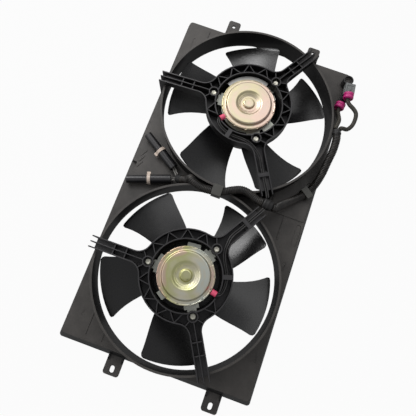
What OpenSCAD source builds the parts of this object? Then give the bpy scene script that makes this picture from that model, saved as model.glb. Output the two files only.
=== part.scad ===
// Twin radiator cooling fan: a moulded shroud with two barrels, a ribbed carrier over each barrel that
// holds an electric motor, a five-blade fan on each motor shaft, and the wiring between them.
// Millimetres. The origin is the middle of the face that lies on the radiator, +Z towards the motors,
// +Y along the long side from the lower fan to the upper fan.

/* [Shroud] */
// Inner diameter of each fan barrel
barrel_bore = 325; // [319:1:335]
// Height of the barrels above the panel
barrel_h = 41.5; // [34:0.5:60]
// Space between the two barrels
barrel_gap = 5; // [3:0.5:14]
// Wall thickness of the moulding
wall = 2.5; // [2:0.1:3.5]
// Height and width of the bead round each barrel's rim
bead = 1.5; // [1:0.1:2]
// Panel beyond the barrels along the long sides
side_land = 11.5; // [10:0.5:30]
// Panel beyond the barrels at the two ends
end_land = 1; // [0.5:0.5:30]
// Depth of the skirt from the radiator to the panel
skirt_h = 26; // [20:1:45]
// Outward slope of the skirt along the long sides
side_flare = 8; // [4:0.5:16]
// Outward slope of the skirt at the two ends
end_flare = 12; // [4:0.5:16]
// Radius of the panel's corners
corner_r = 6; // [5:0.5:12]

/* [Mounting tabs] */
// Thickness of the tabs
tab_t = 4; // [3:0.1:6]
// Reach of the upper tabs beyond the skirt
upper_tab_l = 38; // [25:1:50]
// Width of the upper tabs
upper_tab_w = 26; // [18:1:40]
// Distance between the holes in the upper tabs
upper_hole_pitch = 182; // [150:1:220]
// Diameter of the holes in the upper tabs
upper_hole_d = 7; // [5:0.1:9]
// Reach of the lower tabs beyond the skirt
lower_tab_l = 33; // [28:1:45]
// Width of the lower tabs
lower_tab_w = 30; // [20:1:40]
// Distance from the centre line to the left lower tab
lower_left_x = 70; // [55:1:100]
// Distance from the centre line to the right lower tab
lower_right_x = 118; // [90:1:135]
// Width of the slots in the lower tabs
slot_w = 8; // [6:0.1:10]
// Length of the slots in the lower tabs
slot_l = 13; // [11:0.5:18]

/* [Motor carriers] */
// Inner diameter of the carrier ring round the motor
ring_bore = 123.2; // [121.5:0.1:125]
// Width of the carrier ring
ring_w = 19; // [18:0.5:22]
// Height of the carrier ring
ring_h = 21; // [19:0.5:26]
// Thickness of the ribs and walls of the carriers
rib = 2.2; // [1.8:0.1:2.8]
// Thickness of the carrier floor
carrier_floor = 2.5; // [2:0.1:3.5]
// Width of each arm
arm_w = 21.4; // [19:0.1:24]
// Radius where an arm runs into the ring
arm_fillet = 22; // [14:1:28]
// Reach of the arms beyond the barrel wall
arm_foot = 11; // [8:0.5:11.5]
// Height of the arms at their outer ends
arm_end_h = 11.5; // [10:0.5:15]
// Depth of the channel along the outer part of the arms
arm_tray = 6; // [4:0.5:7]
// Depth of the channel along the outer part of the arms that carry wires
wire_tray = 3; // [2:0.5:4]
// Distance from the fan axis to the first cross rib of an arm
first_cross_r = 110; // [106:1:118]
// Distance from the fan axis to the second cross rib of an arm
second_cross_r = 132; // [124:1:140]
// Angle between the truss points on the ring's outer wall
truss_step = 24; // [20:1:28]
// Diameter of the circle of the motor screws
screw_circle = 137.8; // [136:0.1:140]
// Outer diameter of the screw wells
well_d = 19; // [17:0.1:19.5]
// Wall of the screw wells
well_wall = 2; // [1.5:0.1:2.5]
// Height of the well floor above the barrel rim
well_floor = 11.5; // [8:0.5:13]
// Clearance round the screws in the wells
screw_clearance = 0.2; // [0.1:0.05:0.4]

/* [Fans] */
// Gap between the blade tips and the barrel
tip_gap = 6; // [4:0.5:10]
// Outer diameter of the fan hub
hub_d = 128; // [124:1:132]
// Height of the fan hub
hub_h = 38; // [36:1:40]
// Height of the fan hub's face above the radiator
hub_z = 12; // [10:1:13]
// Wall of the fan hub
hub_wall = 3; // [2.4:0.1:4]
// Thickness of the blades in the middle at the root
blade_t = 3; // [2.4:0.1:4]
// Rise of a blade from its leading to its trailing edge
blade_rise = 32; // [26:1:34]
// Depth of the blade's curve below its chord
blade_camber = 5; // [3:0.5:7]
// Angle that a blade tip covers
blade_chord = 42.7; // [36:0.1:46]
// Sweep of the leading edge from tip to root
lead_sweep = 7; // [3:0.5:10]
// Sweep of the trailing edge from tip to root
trail_sweep = 17; // [10:0.5:19]
// Radius of the blade tip's corners
tip_round = 7; // [4:0.5:10]
// Number of ribs inside the fan hub
hub_ribs = 10; // [6:1:12]

/* [Motors] */
// Outer diameter of the motor's steel can
can_d = 90; // [84:1:92]
// Wall of the can
can_wall = 2; // [1.5:0.1:2.5]
// Length of the can
can_l = 44; // [43:0.5:46]
// Outer diameter of the crimped flange
flange_d = 100.8; // [98:0.1:103]
// Diameter of the raised cap
cap_d = 84; // [78:1:88]
// Height of the cap above the flange
cap_h = 6.6; // [5:0.1:8]
// Diameter of the hollow in the cap
dish_d = 49; // [44:1:56]
// Depth of the hollow in the cap
dish_depth = 5; // [4:0.1:5.5]
// Number of breaks in the crimped lip of the flange
crimps = 14; // [8:1:18]
// Diameter of the shaft
shaft_d = 8; // [7:0.1:9]
// Outer diameter of the bearings
bearing_d = 16; // [15:0.1:17]
// Radial clearance between shaft and bearings
running_fit = 0.05; // [0.02:0.01:0.1]
// Air gap between armature and magnets
air_gap = 1.2; // [0.8:0.1:1.6]
// Thickness of the magnets
magnet_t = 5; // [4:0.1:6]
// Number of slots in the armature
slots = 12; // [8:1:14]
// Thickness of the steel bracket
bracket_t = 2.5; // [2:0.1:3.5]
// Width of the bracket's ears
ear_w = 26; // [22:1:28]
// Thread diameter of the motor screws
screw_d = 6; // [5:0.1:6.5]
// Head diameter of the motor screws
screw_head_d = 10.5; // [9:0.1:12]
// Head height of the motor screws
screw_head_h = 4; // [3:0.1:5]

/* [Wiring] */
// Diameter of the corrugated tube between the fans
conduit_d = 15; // [13:0.5:15]
// Diameter of the single wires
wire_d = 3; // [2.4:0.1:3.2]
// Diameter of the leads to the plugs
plug_lead_d = 8; // [6.5:0.1:8.2]
// Diameter of the narrow part of the splice covers
cover_d = 15; // [13:0.5:16]
// Diameter of the wide part of the splice covers
cover_wide_d = 17.5; // [16.5:0.5:18]
// Length of the splice covers
cover_l = 84; // [70:1:88]
// Thickness of the cable ties
tie_t = 1.4; // [1:0.1:2]
// Width of the cable ties
tie_w = 6; // [4.5:0.5:7]
// Diameter of the pink plug seals
seal_d = 20; // [18:0.5:20.5]

/* [Hidden] */
$fn = 64;

seat_gap = 0.3;
over = 1;
barrel_r = barrel_bore / 2 + wall;
fan_y = barrel_r + barrel_gap / 2;
face_x = barrel_r + side_land;
face_y = fan_y + barrel_r + end_land;
face_z = skirt_h;
rim_z = face_z + barrel_h;
ring_r = ring_bore / 2 + ring_w;
arm_reach = barrel_r + arm_foot;
screw_r = screw_circle / 2;
seat_z = rim_z + well_floor;
flange_z = rim_z + 16.5;
flange_t = 2;
cap_t = 1.8;
cap_z = flange_z + cap_h;
can_z = flange_z - flange_t - can_l;
shaft_r = shaft_d / 2;
bearing_r = bearing_d / 2;
bearing_l = 7;
shaft_z = 4;
shaft_top = cap_z - dish_depth - cap_t;
rear_bearing_z = shaft_top - bearing_l;
magnet_r = can_d / 2 - can_wall;
core_r = magnet_r - magnet_t - air_gap;
core_z = can_z + 7;
winding_h = 4;
core_l = 18;
comm_z = core_z + core_l + winding_h + 0.5;
comm_r = 11;
comm_l = rear_bearing_z - comm_z - 1;
card_z = comm_z + comm_l - 0.8;
holder_h = 6.5;
tip_r = barrel_bore / 2 - tip_gap;
hub_r = hub_d / 2;

// Turn of each motor unit, so that the arm with the wires points at the middle of the shroud
UPPER = [0, fan_y, -60];
LOWER = [0, -fan_y, 60];
// Rest angle of each fan
upper_fan_turn = 58.6;
lower_fan_turn = 163.2;
// Angles between the blades, uneven so that the fan doesn't hum on one note
blade_angles = [0, 81, 143, 221, 294];
// Direction in which a motor's wires leave it, from the wire arm
exit_angle = -72;
wire_z = seat_z + 4;
wire_arm_z = rim_z + arm_end_h;

shroud_grey = [0.17, 0.17, 0.18];
zinc = [0.74, 0.71, 0.6];
pink = [0.85, 0.24, 0.55];

module unit_at(place) {
    translate([place[0], place[1], 0]) rotate(place[2]) children();
}

module strut(from, to, thickness, height) {
    run = to - from;
    translate([from[0], from[1], 0]) rotate(atan2(run[1], run[0]))
        translate([0, -thickness / 2, 0]) cube([norm(run), thickness, height]);
}

module tube(outer_r, inner_r, height) {
    difference() {
        cylinder(r = outer_r, h = height);
        translate([0, 0, -over]) cylinder(r = inner_r, h = height + 2 * over);
    }
}

function polar(r, angle) = [r * cos(angle), r * sin(angle)];
function arc(centre, r, from, to, steps) =
    [for (i = [0:steps]) centre + polar(r, from + (to - from) * i / steps)];
function turned(p, angle) =
    [p[0] * cos(angle) - p[1] * sin(angle), p[0] * sin(angle) + p[1] * cos(angle)];
function unit(v) = v / norm(v);

// A smooth curve through the points of a route, with a number of steps from each to the next
function curve_point(a, b, c, d, t) =
    0.5 * (2 * b + (c - a) * t + (2 * a - 5 * b + 4 * c - d) * t * t + (3 * b - a - 3 * c + d) * t * t * t);
function smooth(p, steps) = concat(
    [for (i = [0:len(p) - 2], j = [0:steps - 1])
        curve_point(i == 0 ? 2 * p[0] - p[1] : p[i - 1], p[i], p[i + 1],
            i == len(p) - 2 ? 2 * p[i + 1] - p[i] : p[i + 2], j / steps)],
    [p[len(p) - 1]]);

// A cord of round section along a route, shifted sideways where it is one of several
module cord(route, d, sides, steps, shift = 0) {
    path = smooth(route, steps);
    n = len(path);
    function ahead(i) = unit(path[min(i + 1, n - 1)] - path[max(i - 1, 0)]);
    function side(i) = unit(cross(ahead(i), [0, 0, 1]));
    points = [for (i = [0:n - 1], k = [0:sides - 1])
        let (a = 360 * k / sides, s = side(i), u = cross(s, ahead(i)))
            path[i] + (shift + d / 2 * cos(a)) * s + d / 2 * sin(a) * u];
    walls = [for (i = [0:n - 2], k = [0:sides - 1])
        let (m = (k + 1) % sides, a = i * sides + k, b = i * sides + m)
            each [[a, b, b + sides], [a, b + sides, a + sides]]];
    start_cap = [for (k = [sides - 1:-1:0]) k];
    end_cap = [for (k = [0:sides - 1]) (n - 1) * sides + k];
    polyhedron(points, concat([start_cap], walls, [end_cap]), convexity = 6);
}

// Lies along the line from one point to another, with the piece's own axis on +Z
module along(from, to) {
    run = to - from;
    flat = norm([run[0], run[1]]);
    translate(from) rotate([0, atan2(flat, run[2]), atan2(run[1], run[0])]) children();
}

// Shroud

module panel_block(inset, bottom, top) {
    slope = (top - bottom) / skirt_h;
    hull() {
        for (x = [-1, 1], y = [-1, 1]) {
            translate([x * (face_x + side_flare * (1 - bottom / skirt_h) - corner_r - inset),
                y * (face_y + end_flare * (1 - bottom / skirt_h) - corner_r - inset), bottom])
                cylinder(r = corner_r, h = 0.01, $fn = 24);
            translate([x * (face_x + side_flare * (1 - top / skirt_h) - corner_r - inset),
                y * (face_y + end_flare * (1 - top / skirt_h) - corner_r - inset), top - 0.01])
                cylinder(r = corner_r, h = 0.01, $fn = 24);
        }
    }
}

module barrel() {
    rotate_extrude($fn = 128) polygon([
        [barrel_bore / 2, face_z - wall], [barrel_r, face_z - wall], [barrel_r, rim_z - 2 * bead],
        [barrel_r + bead, rim_z - bead], [barrel_r + bead, rim_z], [barrel_bore / 2, rim_z]]);
}

module tab(x, end, width, reach) {
    inner = face_y + end_flare * (1 - tab_t / skirt_h) - wall / 2;
    outer = face_y + end_flare + reach;
    r = 5;
    translate([x, 0, 0]) rotate(end > 0 ? 0 : 180) {
        translate([-width / 2, inner, 0]) cube([width, outer - inner - r, tab_t]);
        translate([-width / 2 + r, outer - 2 * r, 0]) cube([width - 2 * r, 2 * r, tab_t]);
        for (side = [-1, 1])
            translate([side * (width / 2 - r), outer - r, 0]) cylinder(r = r, h = tab_t);
        // Gussets up the skirt
        for (side = [-1, 1])
            translate([side * (width / 2 - wall) - wall / 2, face_y + end_flare - wall / 2, tab_t])
                rotate([90, 0, 90]) linear_extrude(wall)
                    polygon([[0, 0], [10, 0], [-5, 12]]);
    }
}

upper_hole_y = face_y + end_flare + upper_tab_l - 13;
lower_slot_y = -(face_y + end_flare + lower_tab_l - 11);

module slot(x, y) {
    for (side = [-1, 1])
        translate([x, y + side * (slot_l - slot_w) / 2, -over]) cylinder(d = slot_w, h = tab_t + 2 * over);
    translate([x - slot_w / 2, y - (slot_l - slot_w) / 2, -over])
        cube([slot_w, slot_l - slot_w, tab_t + 2 * over]);
}

module shroud() color(shroud_grey) {
    step_h = 1.5;
    ledge_z = skirt_h - 8;
    step_x = face_x - 72;
    difference() {
        union() {
            difference() {
                panel_block(0, 0, skirt_h);
                panel_block(wall, -over, skirt_h - wall);
            }
            for (y = [-fan_y, fan_y]) translate([0, y, 0]) barrel();
            tab(-upper_hole_pitch / 2, 1, upper_tab_w, upper_tab_l);
            tab(upper_hole_pitch / 2, 1, upper_tab_w, upper_tab_l);
            tab(-lower_left_x, -1, lower_tab_w, lower_tab_l);
            tab(lower_right_x, -1, lower_tab_w, lower_tab_l);
            // Floor under the notch in the left edge
            intersection() {
                panel_block(wall / 2, 0, skirt_h);
                union() {
                    translate([-face_x - side_flare, -49, ledge_z - 4]) cube([side_flare + 4.5, 56, 5]);
                    translate([-face_x - side_flare, -13, ledge_z - 4]) cube([side_flare + 10, 20, 5]);
                }
            }
            // Raised panel on the right above the middle, and the rib that runs down from it
            translate([step_x, 2.5, face_z - wall / 2]) cube([72 - wall, 40, wall / 2 + step_h]);
            translate([face_x - 41.5, -45, face_z - wall / 2]) cube([rib, 50, wall / 2 + step_h]);
            // Stiffening ribs near the left corners
            translate([-face_x + 41, -fan_y - 155, face_z - wall / 2]) cube([rib, 42, wall / 2 + 1]);
            translate([-face_x + 72, -fan_y - 158, face_z - wall / 2]) cube([rib, 14, wall / 2 + 1]);
            translate([-face_x + 44, fan_y + 142, face_z - wall / 2]) cube([rib, 16, wall / 2 + 1]);
            // Ribs that cross the valley between the barrels on the left
            for (i = [0:2])
                translate([-face_x + 12, -4 + 12 * i, face_z - wall / 2]) rotate(62)
                    cube([16, rib, wall / 2 + 1]);
        }
        for (y = [-fan_y, fan_y])
            translate([0, y, -over]) cylinder(d = barrel_bore, h = rim_z + 2 * over, $fn = 128);
        for (side = [-1, 1])
            translate([side * upper_hole_pitch / 2, upper_hole_y, -over])
                cylinder(d = upper_hole_d, h = tab_t + 2 * over);
        slot(-lower_left_x, lower_slot_y);
        slot(lower_right_x, lower_slot_y);
        // Notch in the left edge, between the two splice covers
        translate([-face_x - side_flare - over, -12, ledge_z]) cube([side_flare + over + 9, 18, 8 + over]);
        translate([-face_x - side_flare - over, -48, ledge_z]) cube([side_flare + over + 3, 40, 8 + over]);
        // Shallow round marks of the ejectors
        for (p = [[face_x - 12, -265], [face_x - 13.5, -84], [face_x - 14, 78],
            [25 - face_x, -292], [22 - face_x, 296]])
            translate([p[0], p[1], face_z - 0.6]) cylinder(d = 6, h = 2, $fn = 24);
        // Long pocket near the right edge
        translate([face_x - 13, -44, face_z - 1.2]) cube([10, 34, 2]);
        for (y = [-44, -10]) translate([face_x - 8, y, face_z - 1.2]) cylinder(d = 10, h = 2);
    }
}

// Motor carrier, drawn round its own fan axis with the wire arm along +X and the barrel rim at z = 0

fillet_y = arm_w / 2 + arm_fillet;
fillet_x = sqrt((ring_r + arm_fillet) * (ring_r + arm_fillet) - fillet_y * fillet_y);
fillet_angle = atan2(fillet_y, fillet_x);

function arm_outline(inset, reach) = concat(
    arc([fillet_x, -fillet_y], arm_fillet + inset, 180 - fillet_angle, 90, 7),
    [[reach, inset - arm_w / 2], [reach, arm_w / 2 - inset]],
    arc([fillet_x, fillet_y], arm_fillet + inset, 270, 180 + fillet_angle, 7),
    [for (i = [1:11]) polar(ring_r - inset, fillet_angle + (120 - 2 * fillet_angle) * i / 12)]);
function carrier_outline(inset, reach) =
    [for (a = [0, 120, 240], p = arm_outline(inset, reach)) turned(p, a)];

// Height of the carrier's walls, flat over the ring and falling along the arms
function roof(r) = r < ring_r ? ring_h
    : ring_h - (ring_h - arm_end_h) * (r - ring_r) / (arm_reach - ring_r);

module roof_cut() {
    far = arm_reach + 10;
    rotate_extrude()
        polygon([[ring_r, roof(ring_r)], [far, roof(far)], [far, ring_h + 5], [ring_r, ring_h + 5]]);
}

module truss(from, to) {
    inner = ring_bore / 2 + rib / 2;
    outer = ring_r - rib / 2;
    count = floor((to - from) / truss_step);
    for (i = [0:count - 1]) {
        mid = (from + to) / 2 + (i - (count - 1) / 2) * truss_step;
        for (side = [-1, 1])
            strut(polar(outer, mid), polar(inner, mid + side * (truss_step / 2 - 1.7)),
                rib * 0.8, ring_h - 1.5);
    }
}

module arm_ribs() {
    strut([screw_r + well_d / 2 - 1, 0], [arm_reach, 0], rib * 0.8, ring_h - 1);
    for (r = [first_cross_r, second_cross_r])
        translate([r - rib / 2, -arm_w / 2 + rib / 2, 0]) cube([rib, arm_w - rib, roof(r) - 2]);
}

module arm_tray_plate(depth) {
    translate([second_cross_r - rib / 2, -arm_w / 2 + rib / 2, arm_end_h - depth - carrier_floor])
        cube([barrel_r + bead - second_cross_r + rib / 2, arm_w - rib, carrier_floor]);
}

// Three fins of an arm that reach down the outside of the barrel to the panel
module arm_feet(depth) {
    difference() {
        for (y = [-(arm_w - rib) / 2, 0, (arm_w - rib) / 2])
            translate([barrel_r - over, y - rib / 2, -barrel_h])
                cube([arm_foot + over, rib, barrel_h + arm_end_h - depth - 1]);
        translate([0, 0, -barrel_h - over])
            cylinder(r = barrel_r + bead + seat_gap, h = barrel_h + over, $fn = 128);
    }
}

module carrier() color(shroud_grey) {
    gate = polar(ring_bore / 2, exit_angle);
    difference() {
        union() {
            difference() {
                union() {
                    difference() {
                        linear_extrude(ring_h) polygon(carrier_outline(0, arm_reach));
                        translate([0, 0, carrier_floor]) linear_extrude(ring_h)
                            polygon(carrier_outline(rib, arm_reach + over));
                        for (a = [0, 120, 240]) rotate(a)
                            translate([second_cross_r, rib - arm_w / 2, -over])
                                cube([arm_reach, arm_w - 2 * rib, over + carrier_floor + over]);
                    }
                    cylinder(d = ring_bore + 2 * rib, h = ring_h);
                    truss(10, 110);
                    truss(130, 230);
                    truss(250, 288);
                    for (a = [0, 120, 240]) rotate(a) {
                        tray = a == 0 ? wire_tray : arm_tray;
                        arm_tray_plate(tray);
                        arm_feet(tray);
                        strut([screw_r, 0], [ring_r + 1.5, 15.5], rib * 0.8, ring_h - 1.5);
                    }
                    for (a = [120, 240]) rotate(a) {
                        arm_ribs();
                        strut([screw_r, 0], [ring_r + 1.5, -15.5], rib * 0.8, ring_h - 1.5);
                    }
                    // Pads that keep the motor's wires in their channel
                    translate([135, -arm_w / 2 + rib / 2, roof(138) - 1.5]) cube([7, arm_w - rib, 1.5]);
                    rotate(-43) translate([ring_bore / 2 + rib / 2, -4, ring_h - 2]) cube([ring_w - rib, 8, 2]);
                }
                roof_cut();
                translate([0, 0, -over]) cylinder(d = ring_bore, h = ring_h + 2 * over);
                translate([gate[0], gate[1], wire_z - rim_z - 6]) rotate(exit_angle)
                    translate([-3, -6.5, 0]) cube([8, 13, ring_h]);
            }
            // Screw wells, which reach into the bore
            for (a = [0, 120, 240]) rotate(a) translate([screw_r, 0, 0]) cylinder(d = well_d, h = ring_h - 0.7);
        }
        for (a = [0, 120, 240]) rotate(a) translate([screw_r, 0, 0]) {
            translate([0, 0, well_floor]) cylinder(d = well_d - 2 * well_wall, h = ring_h);
            translate([0, 0, -over]) cylinder(d = screw_d + 2 * screw_clearance, h = ring_h);
        }
    }
}

module carrier_at(place) translate([0, 0, rim_z]) unit_at(place) carrier();

// Fan, turning anticlockwise seen from the motor, drawn round its own axis

module blade() {
    rings = 9;
    steps = 9;
    root_r = hub_r - hub_wall / 2;
    span = tip_r - root_r;
    round_from = 1 - tip_round / span;
    function part(i) = sin(90 * i / rings);
    function inset(u) = u <= round_from ? 0
        : tip_round * (1 - sqrt(max(0, 1 - pow((u - round_from) / (1 - round_from), 2)))) / tip_r * 57.3;
    function lead(u) = -lead_sweep * (1 - pow(u, 2.2)) - inset(u);
    function trail(u) = -blade_chord - trail_sweep * pow(1 - u, 1.7) + inset(u);
    function height(s) = blade_rise * s - 4 * blade_camber * s * (1 - s);
    function thick(u, s) = (1 - 0.3 * u) * blade_t * (0.35 + 0.65 * sqrt(4 * s * (1 - s)));
    function point(i, s, face) =
        let (u = part(i), a = lead(u) + (trail(u) - lead(u)) * s)
            concat(polar(root_r + span * u, a), [hub_z + 3 + height(s) + face * thick(u, s) / 2]);
    row = 2 * (steps + 1);
    points = [for (i = [0:rings]) each concat(
        [for (j = [0:steps]) point(i, j / steps, 1)],
        [for (j = [0:steps]) point(i, 1 - j / steps, -1)])];
    skin = [for (i = [0:rings - 1], k = [0:row - 1])
        let (m = (k + 1) % row, a = i * row + k, b = i * row + m)
            each [[a, a + row, b + row], [a, b + row, b]]];
    root_cap = [for (j = [0:steps - 1]) each
        [[j, j + 1, row - 2 - j], [j, row - 2 - j, row - 1 - j]]];
    tip_cap = [for (f = root_cap) [for (k = [2:-1:0]) f[k] + rings * row]];
    polyhedron(points, concat(root_cap, skin, tip_cap), convexity = 4);
}

module fan() color([0.13, 0.13, 0.14]) {
    top = hub_z + hub_h;
    boss_r = shaft_r + 7;
    difference() {
        union() {
            rotate_extrude($fn = 96) polygon([
                [0, hub_z + 3], [16, hub_z + 3], [19, hub_z], [hub_r - 4, hub_z], [hub_r - 1, hub_z + 1.2],
                [hub_r, hub_z + 4], [hub_r, top], [hub_r - hub_wall, top],
                [hub_r - hub_wall, hub_z + hub_wall + 3], [boss_r, hub_z + hub_wall + 3],
                [boss_r, hub_z + 16], [0, hub_z + 16]]);
            for (i = [0:hub_ribs - 1]) rotate(360 / hub_ribs * i)
                translate([boss_r - 1, -1, hub_z + hub_wall + 1]) cube([hub_r - boss_r - 1, 2, 6]);
        }
        translate([0, 0, -over]) cylinder(r = shaft_r + running_fit, h = top + 2 * over);
    }
    for (a = blade_angles) rotate(-a) blade();
}

module fan_nut() color([0.62, 0.63, 0.64]) {
    difference() {
        union() {
            translate([0, 0, hub_z + 3 - 1.2]) cylinder(d = 15, h = 1.2);
            translate([0, 0, hub_z + 3 - 7]) cylinder(d = 15, h = 6, $fn = 6);
        }
        cylinder(r = shaft_r + running_fit, h = hub_z + 4);
    }
}

// Motor, drawn round its own axis

module motor_shaft() color([0.72, 0.73, 0.75])
    translate([0, 0, shaft_z]) cylinder(d = shaft_d, h = shaft_top - shaft_z);

module motor_can() color(zinc) {
    r = can_d / 2;
    rotate_extrude($fn = 96) polygon([
        [bearing_r, can_z - 5], [bearing_r + 2, can_z - 5], [bearing_r + 2, can_z], [r - 4, can_z],
        [r, can_z + 4], [r, flange_z - flange_t - 1], [flange_d / 2, flange_z - flange_t - 1],
        [flange_d / 2, flange_z - flange_t], [magnet_r, flange_z - flange_t], [magnet_r, can_z + 5],
        [magnet_r - 3, can_z + can_wall], [bearing_r, can_z + can_wall]]);
}

module motor_cap() color([0.8, 0.77, 0.66]) {
    r = flange_d / 2;
    c = cap_d / 2;
    d = dish_d / 2;
    low = cap_z - dish_depth;
    base = flange_z - flange_t;
    seat = bearing_r + 2;
    lip = 2.2;
    difference() {
        rotate_extrude($fn = 96) polygon([
            [magnet_r - 1, base], [r, base], [r, flange_z - 0.2], [r - 0.7, flange_z + 0.5],
            [r - lip + 0.4, flange_z + 0.5], [r - lip, flange_z], [c + 1.5, flange_z],
            [c, flange_z + 1.5], [c, cap_z - 2], [c - 2, cap_z], [d, cap_z], [d - 1.5, cap_z - 0.8],
            [d - 4, cap_z - 2.8], [d - 6, cap_z - 3.2], [d - 6.6, low + 0.9], [d - 8.2, low + 0.8],
            [d - 9, low], [shaft_r + 4.5, low], [shaft_r + 3.5, low + 3.6], [shaft_r + 2.5, low + 4.4],
            [0, low + 4.4], [0, low + 2.6], [shaft_r + 1.5, low + 2.6], [shaft_r + 1.5, shaft_top],
            [bearing_r, shaft_top], [bearing_r, rear_bearing_z], [seat, rear_bearing_z], [seat, shaft_top],
            [d - 9.5, shaft_top], [d - 4.8, cap_z - 2.8 - cap_t], [d - 1, cap_z - 0.9 - cap_t],
            [d, cap_z - cap_t], [c - 3, cap_z - cap_t], [c - cap_t, cap_z - 3], [c - cap_t, base + 1.5],
            [magnet_r - 1, base + 1.5]]);
        // Breaks in the crimped lip
        for (i = [0:crimps - 1]) rotate(360 / crimps * i + 8)
            translate([r - lip - 0.2, -1.3, base - over]) cube([lip + 2, 2.6, flange_t + 2 * over]);
    }
}

module motor_bracket() color([0.75, 0.76, 0.77]) {
    z = rim_z - bracket_t;
    inner = can_d / 2;
    nut_h = 5;
    tabs = [[35, 24], [103, 10], [177, 16]];
    difference() {
        union() {
            translate([0, 0, z]) cylinder(r = inner + 5, h = bracket_t);
            for (a = [0, 120, 240]) rotate(a) {
                translate([inner - 2, -ear_w / 2, z]) cube([14, ear_w, bracket_t]);
                translate([inner + 8, -8, z]) cube([screw_r - inner - 8, 16, bracket_t]);
                translate([screw_r, 0, z]) cylinder(d = 16, h = bracket_t);
                translate([screw_r, 0, z - nut_h]) cylinder(d = 11, h = nut_h + 1, $fn = 6);
            }
            for (t = tabs) rotate(t[0]) translate([inner - 2, -t[1] / 2, z]) cube([15, t[1], bracket_t]);
        }
        translate([0, 0, z - over]) cylinder(r = inner + running_fit, h = bracket_t + 2 * over, $fn = 96);
        for (a = [0, 120, 240]) rotate(a) translate([screw_r, 0, z - nut_h - over])
            cylinder(d = screw_d + 2 * running_fit, h = nut_h + bracket_t + 2 * over);
    }
}

module motor_magnets() color([0.25, 0.25, 0.27])
    for (a = [0:90:270]) rotate(a + 10) translate([0, 0, core_z - 2])
        rotate_extrude(angle = 70) translate([magnet_r - magnet_t, 0]) square([magnet_t, core_l + 4]);

module armature_core() color([0.5, 0.5, 0.52])
    difference() {
        translate([0, 0, core_z]) cylinder(r = core_r, h = core_l);
        translate([0, 0, core_z - over]) cylinder(r = shaft_r + running_fit, h = core_l + 2 * over);
        for (i = [0:slots - 1]) rotate(360 / slots * i) {
            translate([core_r * 0.5, -2.5, core_z - over]) cube([core_r * 0.42, 5, core_l + 2 * over]);
            translate([core_r * 0.8, -1, core_z - over]) cube([core_r, 2, core_l + 2 * over]);
        }
    }

module armature_winding() color([0.72, 0.4, 0.2]) {
    inner = core_r * 0.5 + 0.2;
    outer = core_r * 0.92 - 0.2;
    for (z = [core_z - winding_h, core_z + core_l]) translate([0, 0, z]) tube(outer, inner, winding_h);
    for (i = [0:slots - 1]) rotate(360 / slots * i)
        translate([inner + 1, -2.3, core_z - 1]) cube([outer - inner - 2, 4.6, core_l + 2]);
}

module commutator() color([0.78, 0.45, 0.25])
    translate([0, 0, comm_z]) tube(comm_r, shaft_r + running_fit, comm_l);

module brush_card() color([0.2, 0.17, 0.15])
    difference() {
        union() {
            translate([0, 0, card_z]) tube(magnet_r - 1.5, comm_r + 2, 2.5);
            for (a = [0, 180]) rotate(a)
                translate([comm_r + 3, -6, card_z - holder_h]) cube([13, 12, holder_h + 1]);
        }
        for (a = [0, 180]) rotate(a) translate([comm_r + 1, -3.5, card_z - 5.5]) cube([12, 7, 5]);
    }

module brushes() color([0.15, 0.15, 0.15])
    for (a = [0, 180]) rotate(a) translate([comm_r + seat_gap, -3.3, card_z - 5.3]) cube([10, 6.6, 4.6]);

module motor_bearings() color([0.65, 0.55, 0.35])
    for (z = [can_z - 5, rear_bearing_z])
        translate([0, 0, z]) tube(bearing_r, shaft_r + running_fit, bearing_l);

module motor_screws() color([0.7, 0.7, 0.68])
    for (a = [0, 120, 240]) rotate(a) translate([screw_r, 0, seat_z]) {
        rotate_extrude() polygon([[0, 0], [screw_head_d / 2, 0], [screw_head_d / 2, 1],
            [screw_head_d / 2 - 1, screw_head_h - 0.8], [screw_head_d / 2 - 2.4, screw_head_h],
            [0, screw_head_h]]);
        translate([0, 0, rim_z - bracket_t - 7 - seat_z])
            cylinder(d = screw_d, h = seat_z - rim_z + bracket_t + 7 + 1);
    }

// Wires of one motor: out of the sleeve, round the ring's channel and along the wire arm
function wire_route(tail) = concat(
    [for (p = [[flange_d / 2 + 1.1, exit_angle], [flange_d / 2 + 6.6, exit_angle],
        [flange_d / 2 + 11.6, exit_angle], [flange_d / 2 + 16.6, -67], [69, -55], [69.5, -40],
        [70, -22], [76.5, -10.5], [88, -4]]) concat(polar(p[0], p[1]), [wire_z])],
    [[104, 0, wire_z - 1], [125, 0, wire_arm_z + 0.6], [148, 0, wire_arm_z + 0.1]],
    tail);
upper_wire_end = [[168, 0, wire_arm_z], [180.4, -1, wire_arm_z - 0.5]];
lower_wire_end = [[168, 0, wire_arm_z], [180.5, 0.5, wire_arm_z - 0.5]];

module motor_leads(tail) color([0.2, 0.19, 0.19])
    for (side = [-1, 1]) cord(wire_route(tail), wire_d, 8, 3, side * (wire_d / 2 + 0.3));

module lead_sleeve() color(pink)
    along(concat(polar(flange_d / 2 + 0.6, exit_angle), [wire_z]),
        concat(polar(flange_d / 2 + 10, exit_angle), [wire_z]))
        tube(5, wire_d + 0.6, 9.5);

// Wiring of the whole unit

junction_axis = unit([19.7, -1, -2.65]);
junction_l = 19.5;
junction_start = [83, 0, 76];
junction_end = junction_start + (junction_l + 2 * seat_gap) * junction_axis;
left_route = [[-70, -3, 50], [-59.2, -3.2, 60.9], [-54, -1.5, 73.5], [-46, -7, 76.8], [-30, -12, 76.5],
    [-12, -11.5, 76.5],
    [0, -9.5, 76.5], [12, -6, 76.5], [25, 2, 76.5], [41, 8.5, 76.5], [56, 7, 76.8],
    [70, 1.2, 77.5], junction_start];
right_route = [junction_end, junction_end + [6.6, 0.65, -1.7], [117, 9, 63.5], [131, 24, 48],
    [146, 40, 37], [160, 56, 34.5], [170, 74, 38], [175, 96, 49], [177, 122, 58], [179, 145, 64],
    [178.5, 166, 66], [176.5, 176, 66]];

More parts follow.
